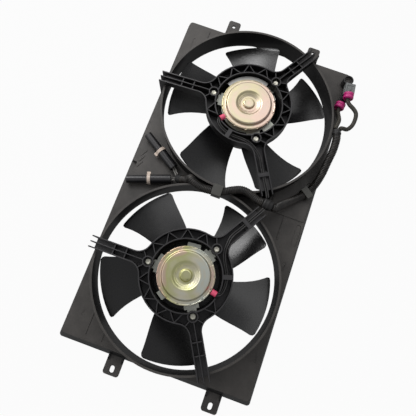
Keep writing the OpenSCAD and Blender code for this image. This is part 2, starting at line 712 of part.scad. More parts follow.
boot_start = [-80, -2.4, 40.5];
boot_l = norm(left_route[0] - boot_start) - seat_gap;

module left_conduit() color([0.14, 0.14, 0.15]) cord(left_route, conduit_d, 12, 3);
module right_conduit() color([0.14, 0.14, 0.15]) cord(right_route, conduit_d, 12, 3);

module harness_boot() color([0.1, 0.1, 0.1])
    along(boot_start, left_route[0])
        rotate_extrude() polygon([[0, 0], [7.5, 0], [8.5, 2], [8, boot_l], [0, boot_l]]);

module junction_tape() color([0.16, 0.15, 0.15])
    along(junction_start + seat_gap * junction_axis, junction_end)
        rotate_extrude()
            polygon([[0, 0], [7.5, 0], [9.5, 2], [10.2, 9], [9.5, 16], [7.5, junction_l], [0, junction_l]]);

module conduit_end_tape() color([0.12, 0.12, 0.12])
    along([176.4, 176.4, 66], [173.7, 187.2, 65.7])
        rotate_extrude() polygon([[0, 0], [8, 0], [8.4, 2], [6.5, 10], [0, 10]]);

module middle_conduit_clip() color([0.22, 0.22, 0.22])
    difference() {
        translate([-9, -19, rim_z]) cube([18, 20.5, 19]);
        along([-13, -11.7, 76.5], [13, -5.6, 76.5]) translate([0, 0, -3]) cylinder(d = conduit_d + 2, h = 34);
    }

module right_conduit_clip() color([0.24, 0.24, 0.23])
    translate([160.5, 56.6, face_z]) rotate(54) difference() {
        translate([-6.5, -11, 0]) cube([13, 22, 19]);
        rotate([0, 90, 0]) translate([-8.6, 0, -10]) cylinder(d = conduit_d + 2.4, h = 20);
    }

cover_z = face_z + cover_wide_d / 2 + tie_t + seat_gap;
upper_cover = [[-166, 62, cover_z], [-94.5, 16.5, cover_z]];
lower_cover = [[-172, -36, cover_z], [-92, -7, cover_z]];

// Cover over a splice: narrow at its open end, wide where the wires go in
module splice_cover(ends) color([0.11, 0.11, 0.12]) {
    axis = unit(ends[1] - ends[0]);
    along(ends[1] - cover_l * axis, ends[1]) difference() {
        rotate_extrude() polygon([[0, 0], [cover_d / 2, 0], [cover_d / 2, cover_l * 0.44],
            [cover_wide_d / 2, cover_l * 0.44 + 1.5], [cover_wide_d / 2, cover_l], [0, cover_l]]);
        translate([0, 0, -over]) cylinder(d = cover_d - 3.6, h = cover_l * 0.44);
        translate([0, 0, cover_l - 10]) cylinder(d = cover_wide_d - 4, h = 11);
    }
}

module splice_wires() color([0.6, 0.6, 0.58]) {
    for (side = [-1, 1]) {
        cord([[-100, 20, cover_z], [-94, 15.5, cover_z], [-88, 9, cover_z + 1], [-81.5, 2, cover_z + 2.8]],
            wire_d, 8, 3, side * (wire_d / 2 + 0.3));
        cord([[-98, -9.2, cover_z], [-91.5, -6.8, cover_z], [-86.5, -5.2, cover_z + 1],
            [-81.3, -3.8, cover_z + 2.8]],
            wire_d, 8, 3, side * (wire_d / 2 + 0.3));
    }
}

module cable_ties() color([0.86, 0.82, 0.78])
    for (tie = [[upper_cover, 90], [lower_cover, -90]]) {
        axis = unit(tie[0][1] - tie[0][0]);
        r = cover_wide_d / 2 + 0.2;
        along(tie[0][1] - cover_l * 0.53 * axis, tie[0][1]) {
            tube(r + tie_t, r, tie_w);
            rotate(tie[1]) translate([1 - r - tie_w, -tie_w / 2, -0.5]) cube([tie_w - 1, tie_w, tie_w + 1]);
        }
    }

// Plugs at the upper right corner

plug_z = face_z + seat_gap;
latch_h = 14.2;
grey_z = plug_z + latch_h + seat_gap;
black_seal_z = plug_z + seal_d / 2 + 0.2;
grey_seal_z = grey_z + seal_d / 2;

module black_plug() color([0.12, 0.12, 0.12])
    translate([175, 274, plug_z]) rotate(-8) {
        difference() {
            translate([-7.5, -15, 0]) cube([15, 30, 13]);
            translate([-5, -16, 11]) cube([10, 12, 3]);
        }
        translate([-3, -6, 0]) cube([6, 18, latch_h]);
    }

module grey_plug() color([0.42, 0.43, 0.43])
    translate([178, 286.5, grey_z]) rotate(6) {
        difference() {
            translate([-9.5, -10, 0]) cube([19, 21, 14]);
            translate([-6.5, -8, 12.8]) cube([13, 14, 2]);
            for (side = [-1, 1]) translate([side * 9.5 - 1, -11, 5]) cube([2, 16, 4]);
        }
        translate([-2, -4, 12]) cube([4, 8, 2.8]);
    }

module plug_seal() {
    difference() {
        rotate_extrude() polygon([[0, 0], [seal_d / 2 - 1.5, 0], [seal_d / 2, 1.5], [seal_d / 2, 5],
            [seal_d / 2 - 1, 5.5], [seal_d / 2 - 1, 7.5], [seal_d / 2, 8], [seal_d / 2, 12], [0, 12]]);
        translate([0, 0, -over]) cylinder(d = plug_lead_d + 1, h = 8);
        for (side = [-1, 1]) translate([side * 6.8 - 1.2, -4, -over]) cube([2.4, 8, 5]);
    }
}

black_plug_end = [[172.9, 259.1, black_seal_z], -8];
grey_plug_end = [[179.05, 276.55, grey_seal_z], 6];

module plug_seals() color(pink)
    for (end = [black_plug_end, grey_plug_end])
        translate(end[0]) rotate([-90, 0, end[1]]) translate([0, 0, -12 - seat_gap]) plug_seal();

module plug_clip() color([0.09, 0.09, 0.09])
    translate([172, 309, face_z]) {
        difference() {
            cylinder(r = 10, h = 20);
            translate([0, 0, 4]) cylinder(r = 7.6, h = 20);
        }
        translate([-4, -11.2, 15]) cube([8, 2.7, 5]);
    }

module straight_plug_lead() color([0.16, 0.16, 0.16])
    cord([[170.6, 187.3, 65.2], [172.2, 196, 63], [175, 212, 55.5], [173.6, 228, 44.5],
        [171.6, 239, black_seal_z + 1.5], [171.4, 248, black_seal_z], [172.2, 253.5, black_seal_z]],
        plug_lead_d, 10, 3);

module looped_plug_lead() color([0.16, 0.16, 0.16])
    cord([[179.3, 188.6, 65], [180.8, 192.6, 64.3], [186, 195.6, 61], [195, 199.5, 56.5], [203, 213, 52],
        [205.5, 229, 50.5], [203.5, 241, 50.5], [196, 248.5, grey_seal_z], [187, 254, grey_seal_z],
        [181, 260.5, grey_seal_z], [179.9, 268.5, grey_seal_z]], plug_lead_d, 10, 3);

shroud();
carrier_at(UPPER);  // upper_motor_carrier
carrier_at(LOWER);  // lower_motor_carrier
translate([0, fan_y, 0]) rotate(upper_fan_turn) fan();  // upper_fan
translate([0, -fan_y, 0]) rotate(lower_fan_turn) fan();  // lower_fan
unit_at(UPPER) fan_nut();  // upper_fan_nut
unit_at(LOWER) fan_nut();  // lower_fan_nut
unit_at(UPPER) motor_shaft();  // upper_motor_shaft
unit_at(LOWER) motor_shaft();  // lower_motor_shaft
unit_at(UPPER) motor_can();  // upper_motor_can
unit_at(LOWER) motor_can();  // lower_motor_can
unit_at(UPPER) motor_cap();  // upper_motor_cap
unit_at(LOWER) motor_cap();  // lower_motor_cap
unit_at(UPPER) motor_bracket();  // upper_motor_bracket
unit_at(LOWER) motor_bracket();  // lower_motor_bracket
unit_at(UPPER) motor_magnets();  // upper_motor_magnets
unit_at(LOWER) motor_magnets();  // lower_motor_magnets
unit_at(UPPER) armature_core();  // upper_armature_core
unit_at(LOWER) armature_core();  // lower_armature_core
unit_at(UPPER) armature_winding();  // upper_armature_winding
unit_at(LOWER) armature_winding();  // lower_armature_winding
unit_at(UPPER) commutator();  // upper_commutator
unit_at(LOWER) commutator();  // lower_commutator
unit_at(UPPER) brush_card();  // upper_brush_card
unit_at(LOWER) brush_card();  // lower_brush_card
unit_at(UPPER) brushes();  // upper_brushes
unit_at(LOWER) brushes();  // lower_brushes
unit_at(UPPER) motor_bearings();  // upper_motor_bearings
unit_at(LOWER) motor_bearings();  // lower_motor_bearings
unit_at(UPPER) motor_screws();  // upper_motor_screws
unit_at(LOWER) motor_screws();  // lower_motor_screws
unit_at(UPPER) motor_leads(upper_wire_end);  // upper_motor_leads
unit_at(LOWER) motor_leads(lower_wire_end);  // lower_motor_leads
unit_at(UPPER) lead_sleeve();  // upper_lead_sleeve
unit_at(LOWER) lead_sleeve();  // lower_lead_sleeve
left_conduit();
right_conduit();
harness_boot();
junction_tape();
conduit_end_tape();
middle_conduit_clip();
right_conduit_clip();
splice_cover(upper_cover);  // upper_splice_cover
splice_cover(lower_cover);  // lower_splice_cover
splice_wires();
cable_ties();
black_plug();
grey_plug();
plug_seals();
plug_clip();
straight_plug_lead();
looped_plug_lead();
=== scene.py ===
"""Looks of a twin radiator cooling fan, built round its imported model, in metres."""

import logging
import math
from collections.abc import Callable, Iterable
from dataclasses import dataclass, field
from enum import Enum

import bpy
from mathutils import Matrix, Quaternion, Vector
from mathutils.bvhtree import BVHTree


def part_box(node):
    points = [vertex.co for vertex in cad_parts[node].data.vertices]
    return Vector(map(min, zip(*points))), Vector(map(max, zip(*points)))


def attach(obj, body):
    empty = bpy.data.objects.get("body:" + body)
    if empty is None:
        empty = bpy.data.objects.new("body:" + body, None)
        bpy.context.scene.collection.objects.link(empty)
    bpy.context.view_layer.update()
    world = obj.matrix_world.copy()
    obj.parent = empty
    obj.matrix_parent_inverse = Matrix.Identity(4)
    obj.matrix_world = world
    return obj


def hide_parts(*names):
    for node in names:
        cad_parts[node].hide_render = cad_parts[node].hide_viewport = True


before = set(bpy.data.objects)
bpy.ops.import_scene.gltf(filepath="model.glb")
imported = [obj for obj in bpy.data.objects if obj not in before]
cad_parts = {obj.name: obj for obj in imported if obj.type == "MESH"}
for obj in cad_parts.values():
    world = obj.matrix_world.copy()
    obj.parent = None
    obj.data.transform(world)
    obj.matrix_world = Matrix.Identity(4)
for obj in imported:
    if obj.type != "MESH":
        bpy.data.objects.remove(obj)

log = logging.getLogger("radiator_fan")
Colour = tuple[float, float, float]
Point = tuple[float, float, float]
Route = tuple[Point, ...]
Stops = list[tuple[float, Colour]]
MM = 0.001
WIRE_D = 3.0 * MM
WIRE_GAP = 0.3 * MM
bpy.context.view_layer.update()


class Unit(Enum):
    """One of the two motor units: its name, the Y of its axis and its turn in degrees."""

    UPPER = ("upper", 0.1675, -60.0)
    LOWER = ("lower", -0.1675, 60.0)

    @property
    def label(self) -> str:
        """The first word of the unit's node names."""
        return self.value[0]

    @property
    def place(self) -> Matrix:
        """The matrix that puts a piece drawn round its own axis where the unit is."""
        return Matrix.Translation((0.0, self.value[1], 0.0)) @ Matrix.Rotation(math.radians(self.value[2]), 4, "Z")


class Socket:
    """A shader socket that takes part in sums, each of which adds a Math node."""

    def __init__(self, graph: "Graph", link: bpy.types.NodeSocket) -> None:
        """Wraps a socket.

        Args:
            graph: the material's nodes.
            link: the output socket.
        """
        self.graph = graph
        self.link = link

    def _sum(self, operation: str, first: "Socket | float", second: "Socket | float") -> "Socket":
        """Adds a Math node for one operation."""
        return self.graph.node("ShaderNodeMath", {"operation": operation}, {0: first, 1: second})

    def __add__(self, other: "Socket | float") -> "Socket":
        """self + other."""
        return self._sum("ADD", self, other)

    __radd__ = __add__

    def __mul__(self, other: "Socket | float") -> "Socket":
        """self * other."""
        return self._sum("MULTIPLY", self, other)

    __rmul__ = __mul__

    def __sub__(self, other: "Socket | float") -> "Socket":
        """self - other."""
        return self._sum("SUBTRACT", self, other)

    def __rsub__(self, other: float) -> "Socket":
        """other - self."""
        return self._sum("SUBTRACT", other, self)

    def sine(self) -> "Socket":
        """The sine of the socket, in radians."""
        return self.graph.node("ShaderNodeMath", {"operation": "SINE"}, {0: self})


class Graph:
    """The nodes of one material, with the methods that add to them."""

    def __init__(self, name: str) -> None:
        """Starts a material that holds a Principled shader.

        Args:
            name: the material's name.
        """
        self.material = bpy.data.materials.new(name)
        self.material.use_nodes = True
        self.tree = self.material.node_tree
        self.shader = self.tree.nodes["Principled BSDF"]

    def node(self, kind: str, settings: dict | None = None, inputs: dict | None = None,
             output: int | str = 0) -> Socket:
        """Adds a node.

        Args:
            kind: the node's type.
            settings: its own settings, set first; "stops" is a colour ramp's list.
            inputs: socket name or number to a value or a Socket.
            output: the output socket to return.

        Returns:
            The chosen output.
        """
        made = self.tree.nodes.new(kind)
        for key, value in (settings or {}).items():
            if key == "stops":
                while len(made.color_ramp.elements) < len(value):
                    made.color_ramp.elements.new(0.5)
                for element, (position, colour) in zip(made.color_ramp.elements, value):
                    element.position = position
                    element.color = (*colour, 1.0)
            else:
                setattr(made, key, value)
        for key, value in (inputs or {}).items():
            self.feed(made.inputs[key], value)
        return Socket(self, made.outputs[output])

    def feed(self, socket: bpy.types.NodeSocket, value: object) -> None:
        """Links a Socket to an input, or sets the input to a plain value."""
        if isinstance(value, Socket):
            self.tree.links.new(value.link, socket)
        elif isinstance(value, tuple) and socket.type == "RGBA":
            socket.default_value = (*value, 1.0)
        else:
            socket.default_value = value

    def place(self, centre: Point = (0.0, 0.0, 0.0), turn: float = 0.0, scale: Point = (1.0, 1.0, 1.0),
              source: str = "Object") -> Socket:
        """Object coordinates, or the piece's own UV, moved, turned and stretched.

        Args:
            centre: the point that becomes the origin.
            turn: turn about Z in degrees.
            scale: stretch of each axis.
            source: "Object" or "UV".

        Returns:
            The coordinates.
        """
        coordinates = self.node("ShaderNodeTexCoord", output=source)
        moved = self.node("ShaderNodeVectorMath", {"operation": "SUBTRACT"}, {0: coordinates, 1: centre})
        return self.node("ShaderNodeMapping", {"vector_type": "POINT"},
                         {"Vector": moved, "Rotation": (0.0, 0.0, math.radians(turn)), "Scale": scale})

    def noise(self, vector: Socket, scale: float, detail: float = 3.0, roughness: float = 0.55) -> Socket:
        """Noise over a vector, from 0 to 1."""
        return self.node("ShaderNodeTexNoise", {"noise_dimensions": "3D"},
                         {"Vector": vector, "Scale": scale, "Detail": detail, "Roughness": roughness}, "Fac")

    def ramp(self, value: Socket, stops: Stops) -> Socket:
        """Colours by a value."""
        return self.node("ShaderNodeValToRGB", {"stops": stops}, {0: value}, "Color")

    def band(self, value: Socket, low: float, high: float) -> Socket:
        """A value between two limits, stretched to run from 0 to 1 and held there."""
        return self.node("ShaderNodeMapRange", {"clamp": True, "interpolation_type": "SMOOTHSTEP"},
                         {"Value": value, "From Min": low, "From Max": high})

    def mix(self, factor: Socket, first: "Socket | Colour", second: "Socket | Colour") -> Socket:
        """A blend of two colours."""
        return self.node("ShaderNodeMix", {"data_type": "RGBA"}, {0: factor, 6: first, 7: second}, 2)

    def bump(self, height: Socket, depth: float, strength: float = 1.0, under: Socket | None = None) -> Socket:
        """A normal from a height.

        Args:
            height: the height, from 0 to 1.
            depth: how deep 1 is, in metres.
            strength: share of the effect.
            under: a coarser normal that this one lies on.

        Returns:
            The normal.
        """
        inputs = {"Height": height, "Distance": depth, "Strength": strength}
        if under is not None:
            inputs["Normal"] = under
        return self.node("ShaderNodeBump", {}, inputs, "Normal")

    def set(self, **values: object) -> bpy.types.Material:
        """Feeds the shader.

        Args:
            values: shader sockets, with _ for a space, to values or Sockets.

        Returns:
            The material.
        """
        for key, value in values.items():
            self.feed(self.shader.inputs[key.replace("_", " ")], value)
        return self.material


@dataclass(frozen=True)
class MouldedPlastic:
    """Moulded plastic with a fine grain, cloudy sheen, handling scuffs and a little dust, and faces that look up
    lightened, partly as settled dust and partly as painted light from above.
    """

    name: str
    colour: Colour
    scuff: Colour
    rough: float = 0.48
    specular: float = 0.34
    grain_depth: float = 0.00006
    scuffs: float = 0.3
    # Tone of the faces that look up: partly settled dust, partly painted light from above.
    settled: Colour | None = None

    def material(self) -> bpy.types.Material:
        """Makes the material."""
        g = Graph(self.name)
        at = g.place()
        cloud = g.noise(at, 9.0, 4.0)
        grain = g.noise(at, 1700.0, 2.0)
        scratches = g.noise(g.place(turn=31.0, scale=(1.0, 14.0, 1.0)), 26.0, 5.0, 0.7)
        worn = g.band(scratches, 0.6, 0.78) * self.scuffs
        dust = g.band(g.noise(at, 46.0, 6.0, 0.65), 0.5, 0.85) * (0.35 * self.scuffs)
        tone = g.mix(cloud, self.colour, tuple(1.35 * c for c in self.colour))
        tone = g.mix(worn + dust, tone, self.scuff)
        # Faces that look up are lightened in patches: partly settled dust, partly painted light from above, which
        # leaves the upright walls darker as painted shade.
        if self.settled:
            normal = g.node("ShaderNodeNewGeometry", output="Normal")
            up = g.node("ShaderNodeSeparateXYZ", {}, {0: normal}, "Z")
            patchy = 0.74 + (cloud - 0.5) * 0.9 + (g.noise(at, 46.0, 5.0, 0.6) - 0.5) * 0.8
            tone = g.mix(g.band(up, 0.8, 0.99) * patchy, tone, self.settled)
        rough = self.rough + (cloud - 0.5) * 0.12 + worn * 0.18 + (grain - 0.5) * 0.1
        return g.set(Base_Color=tone, Roughness=rough, Specular_IOR_Level=self.specular,
                     Normal=g.bump(grain, self.grain_depth))


@dataclass(frozen=True)
class BareMetal:
    """Bare or plated metal, with tones that drift over it, fine flecks and a few dull stains."""

    name: str
    tones: tuple[Colour, Colour, Colour, Colour]
    rough: float = 0.3

    def material(self) -> bpy.types.Material:
        """Makes the material."""
        g = Graph(self.name)
        at = g.place()
        drift = g.noise(at, 19.0, 3.0, 0.5)
        fleck = g.noise(at, 240.0, 5.0, 0.7)
        tone = g.ramp(drift + (fleck - 0.5) * 0.12,
                      [(0.3 + 0.13 * i, tone) for i, tone in enumerate(self.tones)])
        stain = g.band(g.noise(at, 75.0, 6.0, 0.75), 0.6, 0.8)
        tone = g.mix(stain * 0.35, tone, tuple(0.45 * c for c in self.tones[0]))
        return g.set(Base_Color=tone, Metallic=1.0, Roughness=self.rough + (fleck - 0.5) * 0.16 + stain * 0.2,
                     Normal=g.bump(fleck, 0.00002))


@dataclass(frozen=True)
class PassivatedCap:
    """Yellow-passivated zinc on a pressed cap: film colours that drift across it and ring round its hollow.

    The films run in the order of their stops, shift picks the patch of noise that spreads them, and lean is how
    much they change from left to right, for each metre.
    """

    name: str
    centre: Point
    films: Stops
    shift: float
    lean: float
    rough: float = 0.34

    def material(self) -> bpy.types.Material:
        """Makes the material."""
        g = Graph(self.name)
        at = g.place(self.centre)
        broad = g.node("ShaderNodeVectorMath", {"operation": "ADD"}, {0: at, 1: (self.shift, 0.0, 0.0)})
        drift = g.noise(broad, 21.0, 2.0, 0.45)
        mottle = g.noise(broad, 150.0, 5.0, 0.65)
        fleck = g.noise(at, 700.0, 3.0, 0.6)
        flat = g.node("ShaderNodeVectorMath", {"operation": "MULTIPLY"}, {0: at, 1: (1.0, 1.0, 0.0)})
        radius = g.node("ShaderNodeVectorMath", {"operation": "LENGTH"}, {0: flat}, "Value")
        across = g.node("ShaderNodeSeparateXYZ", {}, {0: at}, "X") * self.lean
        ringed = (radius * 420.0 + drift * 3.0).sine() * 0.07
        film = (drift - 0.5) * 1.2 + across + 0.5 + (mottle - 0.5) * 0.2 + ringed
        tone = g.ramp(film, self.films)
        stain = g.band(g.noise(broad, 95.0, 6.0, 0.75), 0.62, 0.8)
        tone = g.mix(stain * 0.25, tone, (0.2, 0.15, 0.1))
        turned = g.bump((radius * 5200.0).sine() * 0.5 + 0.5, 0.000004)
        return g.set(Base_Color=tone, Metallic=1.0, Roughness=self.rough + (mottle - 0.5) * 0.12 + stain * 0.15,
                     Normal=g.bump(fleck, 0.000012, under=turned))


@dataclass(frozen=True)
class SoftSheath:
    """The skin of a wire, hose or wound tape, with marks that follow its length."""

    name: str
    colour: Colour
    pale: Colour
    rough: float = 0.5
    weave: float = 0.0
    wraps: float = 0.0
    specular: float = 0.4

    def material(self) -> bpy.types.Material:
        """Makes the material."""
        g = Graph(self.name)
        at = g.place()
        cloud = g.noise(at, 90.0, 4.0)
        speck = g.noise(at, 1400.0, 2.0)
        height = speck
        depth = 0.00005
        tone = g.mix(g.band(cloud, 0.45, 0.8) * 0.5, self.colour, self.pale)
        if self.weave:
            across = g.place(scale=(18.85, self.weave, 1.0), source="UV")
            x = g.node("ShaderNodeSeparateXYZ", {}, {0: across}, "X")
            y = g.node("ShaderNodeSeparateXYZ", {}, {0: across}, "Y")
            height = (x * 2.0 + y).sine() * (x * 2.0 - y).sine() * 0.5 + 0.5
            depth = 0.0003
            tone = g.mix(g.band(height, 0.35, 0.8) * 0.6, self.colour, self.pale)
        if self.wraps:
            x = g.node("ShaderNodeSeparateXYZ", {}, {0: g.place(turn=12.0)}, "X")
            height = (x * self.wraps + cloud * 1.5).sine() * 0.5 + 0.5
            depth = 0.0003
            tone = g.mix(g.band(height, 0.7, 1.0) * 0.5, tone, self.pale)
        return g.set(Base_Color=tone, Roughness=self.rough + (cloud - 0.5) * 0.2, Specular_IOR_Level=self.specular,
                     Normal=g.bump(height, depth))


# The lighter tone that each black plastic gives its upward faces is partly dust and partly painted light from above:
# paler panel, rib and cover tops, and a painted sheen on the blades.
BLACK_PANEL = MouldedPlastic("shroud_black_plastic", (0.0062, 0.0058, 0.006), (0.06, 0.056, 0.054), 0.5, 0.36,
                             settled=(0.07, 0.064, 0.059))
BLACK_RIBS = MouldedPlastic("carrier_black_plastic", (0.0055, 0.0052, 0.0055), (0.05, 0.048, 0.05), 0.44, 0.36,
                            settled=(0.036, 0.034, 0.036))
BLACK_BLADES = MouldedPlastic("fan_black_plastic", (0.0075, 0.0072, 0.008), (0.04, 0.039, 0.043), 0.27, 0.54,
                              0.00003, 0.18, (0.013, 0.0125, 0.012))
BLACK_SMOOTH = MouldedPlastic("cover_black_plastic", (0.007, 0.007, 0.008), (0.05, 0.05, 0.05), 0.3, 0.5, 0.00001,
                              0.2, (0.03, 0.028, 0.03))
GREY_CLIP = MouldedPlastic("clip_grey_plastic", (0.046, 0.045, 0.04), (0.11, 0.108, 0.095), 0.5, 0.4)
GREY_PLUG = MouldedPlastic("plug_grey_plastic", (0.125, 0.13, 0.128), (0.3, 0.3, 0.29), 0.42, 0.5)
BLACK_PLUG = MouldedPlastic("plug_black_plastic", (0.01, 0.01, 0.01), (0.06, 0.06, 0.06), 0.4, 0.5)
SALMON = MouldedPlastic("sleeve_salmon_plastic", (0.6, 0.07, 0.14), (0.7, 0.2, 0.28), 0.4, 0.5, 0.00002, 0.25)
PINK = MouldedPlastic("pink_plastic", (0.42, 0.018, 0.15), (0.6, 0.12, 0.3), 0.36, 0.5, 0.00002, 0.25)
NYLON = MouldedPlastic("natural_nylon", (0.46, 0.38, 0.32), (0.62, 0.55, 0.48), 0.42, 0.5, 0.00002, 0.3)
CARD = MouldedPlastic("moulded_phenolic", (0.045, 0.028, 0.02), (0.09, 0.07, 0.05))
CARBON = MouldedPlastic("pressed_carbon", (0.02, 0.02, 0.021), (0.07, 0.07, 0.07), 0.6)
FERRITE = MouldedPlastic("sintered_ferrite", (0.035, 0.036, 0.04), (0.09, 0.09, 0.1), 0.55)
OLIVE, STRAW, ROSE = (0.5, 0.51, 0.27), (0.62, 0.55, 0.34), (0.66, 0.5, 0.41)
SILVERED = (0.6, 0.63, 0.57)
UPPER_FILMS = [(0.0, OLIVE), (0.25, STRAW), (0.45, (0.6, 0.52, 0.38)), (0.6, ROSE), (1.0, (0.62, 0.5, 0.44))]
LOWER_FILMS = [(0.0, ROSE), (0.16, (0.64, 0.5, 0.36)), (0.3, (0.54, 0.54, 0.26)), (0.45, (0.6, 0.58, 0.36)),
               (0.6, (0.66, 0.62, 0.48)), (0.76, SILVERED), (0.92, (0.64, 0.58, 0.44)), (1.0, ROSE)]
SILVER_ZINC = BareMetal("bright_zinc", ((0.36, 0.38, 0.33), (0.5, 0.51, 0.46), (0.6, 0.61, 0.54), (0.52, 0.53, 0.5)),
                        rough=0.45)
DULL_ZINC = BareMetal("dull_zinc", ((0.2, 0.2, 0.19), (0.27, 0.27, 0.26), (0.34, 0.335, 0.32), (0.27, 0.27, 0.27)),
                      rough=0.48)
SCREW_ZINC = BareMetal("screw_zinc", ((0.36, 0.36, 0.31), (0.46, 0.45, 0.38), (0.55, 0.53, 0.46), (0.5, 0.47, 0.42)),
                       rough=0.36)
PLAIN_STEEL = BareMetal("plain_steel", ((0.36, 0.36, 0.37), (0.44, 0.44, 0.45), (0.5, 0.5, 0.5), (0.46, 0.46, 0.47)))
COPPER = BareMetal("enamelled_copper", ((0.5, 0.19, 0.08), (0.6, 0.26, 0.12), (0.68, 0.32, 0.16), (0.58, 0.22, 0.1)))
BRONZE = BareMetal("sintered_bronze", ((0.35, 0.26, 0.13), (0.42, 0.32, 0.17), (0.48, 0.37, 0.2), (0.4, 0.3, 0.15)),
                   rough=0.45)
CORRUGATED = SoftSheath("corrugated_tube", (0.013, 0.0115, 0.0105), (0.085, 0.074, 0.064), 0.38)
WIRE_SKIN = SoftSheath("wire_skin", (0.016, 0.015, 0.015), (0.05, 0.046, 0.044), 0.38)
PALE_WIRE = SoftSheath("pale_wire_skin", (0.14, 0.135, 0.125), (0.28, 0.27, 0.25), 0.45)
WOVEN = SoftSheath("woven_sleeve", (0.016, 0.0145, 0.0115), (0.125, 0.115, 0.09), 0.6, weave=2600.0)
TAPE = SoftSheath("wound_tape", (0.01, 0.0095, 0.0095), (0.035, 0.032, 0.032), 0.5, wraps=900.0)
MOULDED_RUBBER = SoftSheath("moulded_rubber", (0.012, 0.012, 0.012), (0.04, 0.038, 0.036), 0.55)


def deselect() -> None:
    """Leaves edit mode and selects nothing."""
    if bpy.context.mode != "OBJECT":
        bpy.ops.object.mode_set(mode="OBJECT")
    bpy.ops.object.select_all(action="DESELECT")


def take(piece: bpy.types.Object) -> None:
    """Makes a piece the only one selected, and active."""
    deselect()
    piece.select_set(True)
    bpy.context.view_layer.objects.active = piece


def settle(piece: bpy.types.Object, angle: float = 32.0) -> bpy.types.Object:
    """Puts a piece's place into its mesh and smooths its shading below an angle."""
    take(piece)
    bpy.ops.object.transform_apply(location=True, rotation=True, scale=True)
    bpy.ops.object.shade_smooth_by_angle(angle=math.radians(angle))
    return piece


def bevel(piece: bpy.types.Object, width: float, segments: int, angle: float) -> None:
    """Rounds a piece's sharp edges with an applied modifier.

    Args:
        piece: the piece.
        width: width of the rounding in metres.
        segments: facets across it.
        angle: edges sharper than this many degrees are rounded.
    """
    take(piece)
    tool = piece.modifiers.new("rounding", "BEVEL")
    tool.width = width
    tool.segments = segments
    tool.limit_method = "ANGLE"
    tool.angle_limit = math.radians(angle)
    tool.use_clamp_overlap = False
    bpy.ops.object.modifier_apply(modifier=tool.name)


def pick_top(piece: bpy.types.Object) -> None:
    """Selects the faces of the active piece that look up, and opens it in edit mode."""
    bpy.ops.object.mode_set(mode="EDIT")
    bpy.ops.mesh.select_all(action="DESELECT")
    bpy.ops.object.mode_set(mode="OBJECT")
    for face in piece.data.polygons:
        face.select = face.normal.z > 0.9
    bpy.ops.object.mode_set(mode="EDIT")


def hold(piece: bpy.types.Object, node: bpy.types.Object, reach: float) -> None:
    """Brings back the few points that the rounding of slivers throws off a node's surface.

    Args:
        piece: the rounded copy.
        node: the node that it copies.
        reach: how far a point may stand from the node's surface, in metres.
    """
    mesh = node.data
    surface = BVHTree.FromPolygons([point.co for point in mesh.vertices],
                                   [tuple(face.vertices) for face in mesh.polygons])
    for point in piece.data.vertices:
        nearest, _, _, distance = surface.find_nearest(point.co)
        if distance > reach:
            point.co = nearest


def dress(piece: bpy.types.Object, material: bpy.types.Material, body: str,
          nodes: Iterable[str] = ()) -> bpy.types.Object:
    """Gives a piece its finish, its body and the nodes that it stands for.

    Args:
        piece: the piece, in place.
        material: its material.
        body: the body that it rides on.
        nodes: nodes that it replaces.

    Returns:
        The piece.
    """
    piece.data.materials.clear()
    piece.data.materials.append(material)
    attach(piece, body)
    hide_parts(*nodes)
    log.info("%s: %d faces on %s", piece.name, len(piece.data.polygons), body)
    return piece


@dataclass
class RoundedNode:
    """A rigid node's own shape with its facets joined and its edges rounded."""

    node: str
    slot: str
    material: bpy.types.Material
    body: str = "root"
    width: float = 0.0004
    segments: int = 2
    sharp: float = 38.0
    stray: float = 0.6

    def build(self) -> bpy.types.Object:
        """Copies the node, merges its triangles, rounds its edges and dresses it.

        Returns:
            The new piece.
        """
        piece = bpy.data.objects.new(f"{self.node}_part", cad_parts[self.node].data.copy())
        bpy.context.scene.collection.objects.link(piece)
        take(piece)
        if piece.data.has_custom_normals:
            bpy.ops.mesh.customdata_custom_splitnormals_clear()
        bpy.ops.object.mode_set(mode="EDIT")
        bpy.ops.mesh.select_all(action="SELECT")
        bpy.ops.mesh.remove_doubles(threshold=2e-6)
        bpy.ops.object.mode_set(mode="OBJECT")
        if self.width:
            bevel(piece, self.width, self.segments, self.sharp)
            hold(piece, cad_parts[self.node], self.stray * self.width)
        settle(piece)
        even_out = piece.modifiers.new("even_out", "WEIGHTED_NORMAL")
        even_out.keep_sharp = True
        take(piece)
        bpy.ops.object.modifier_apply(modifier=even_out.name)
        return dress(piece, self.material, self.body, [self.node])


def curve_through(points: Iterable[Point], steps: int) -> list[Vector]:
    """A smooth curve through points given in millimetres.

    Args:
        points: the route.
        steps: points from each to the next.

    Returns:
        The curve, in metres.
    """
    p = [Vector(point) * MM for point in points]
    p = [2 * p[0] - p[1], *p, 2 * p[-1] - p[-2]]
    curve = []
    for i in range(1, len(p) - 2):
        a, b, c, d = p[i - 1:i + 3]
        for j in range(steps):
            t = j / steps
            curve.append(0.5 * (2 * b + (c - a) * t + (2 * a - 5 * b + 4 * c - d) * t * t
                                + (3 * b - a - 3 * c + d) * t * t * t))
    return [*curve, p[-2]]


def even(curve: list[Vector], pitch: float) -> list[Vector]:
    """The same curve with its points a fixed distance apart."""
    lengths = [0.0]
    for a, b in zip(curve, curve[1:]):
        lengths.append(lengths[-1] + (b - a).length)
    count = max(2, round(lengths[-1] / pitch))
    points, k = [], 0
    for i in range(count + 1):
        s = lengths[-1] * i / count
        while k < len(curve) - 2 and lengths[k + 1] < s:
            k += 1
        points.append(curve[k].lerp(curve[k + 1], (s - lengths[k]) / max(lengths[k + 1] - lengths[k], 1e-9)))
    return points


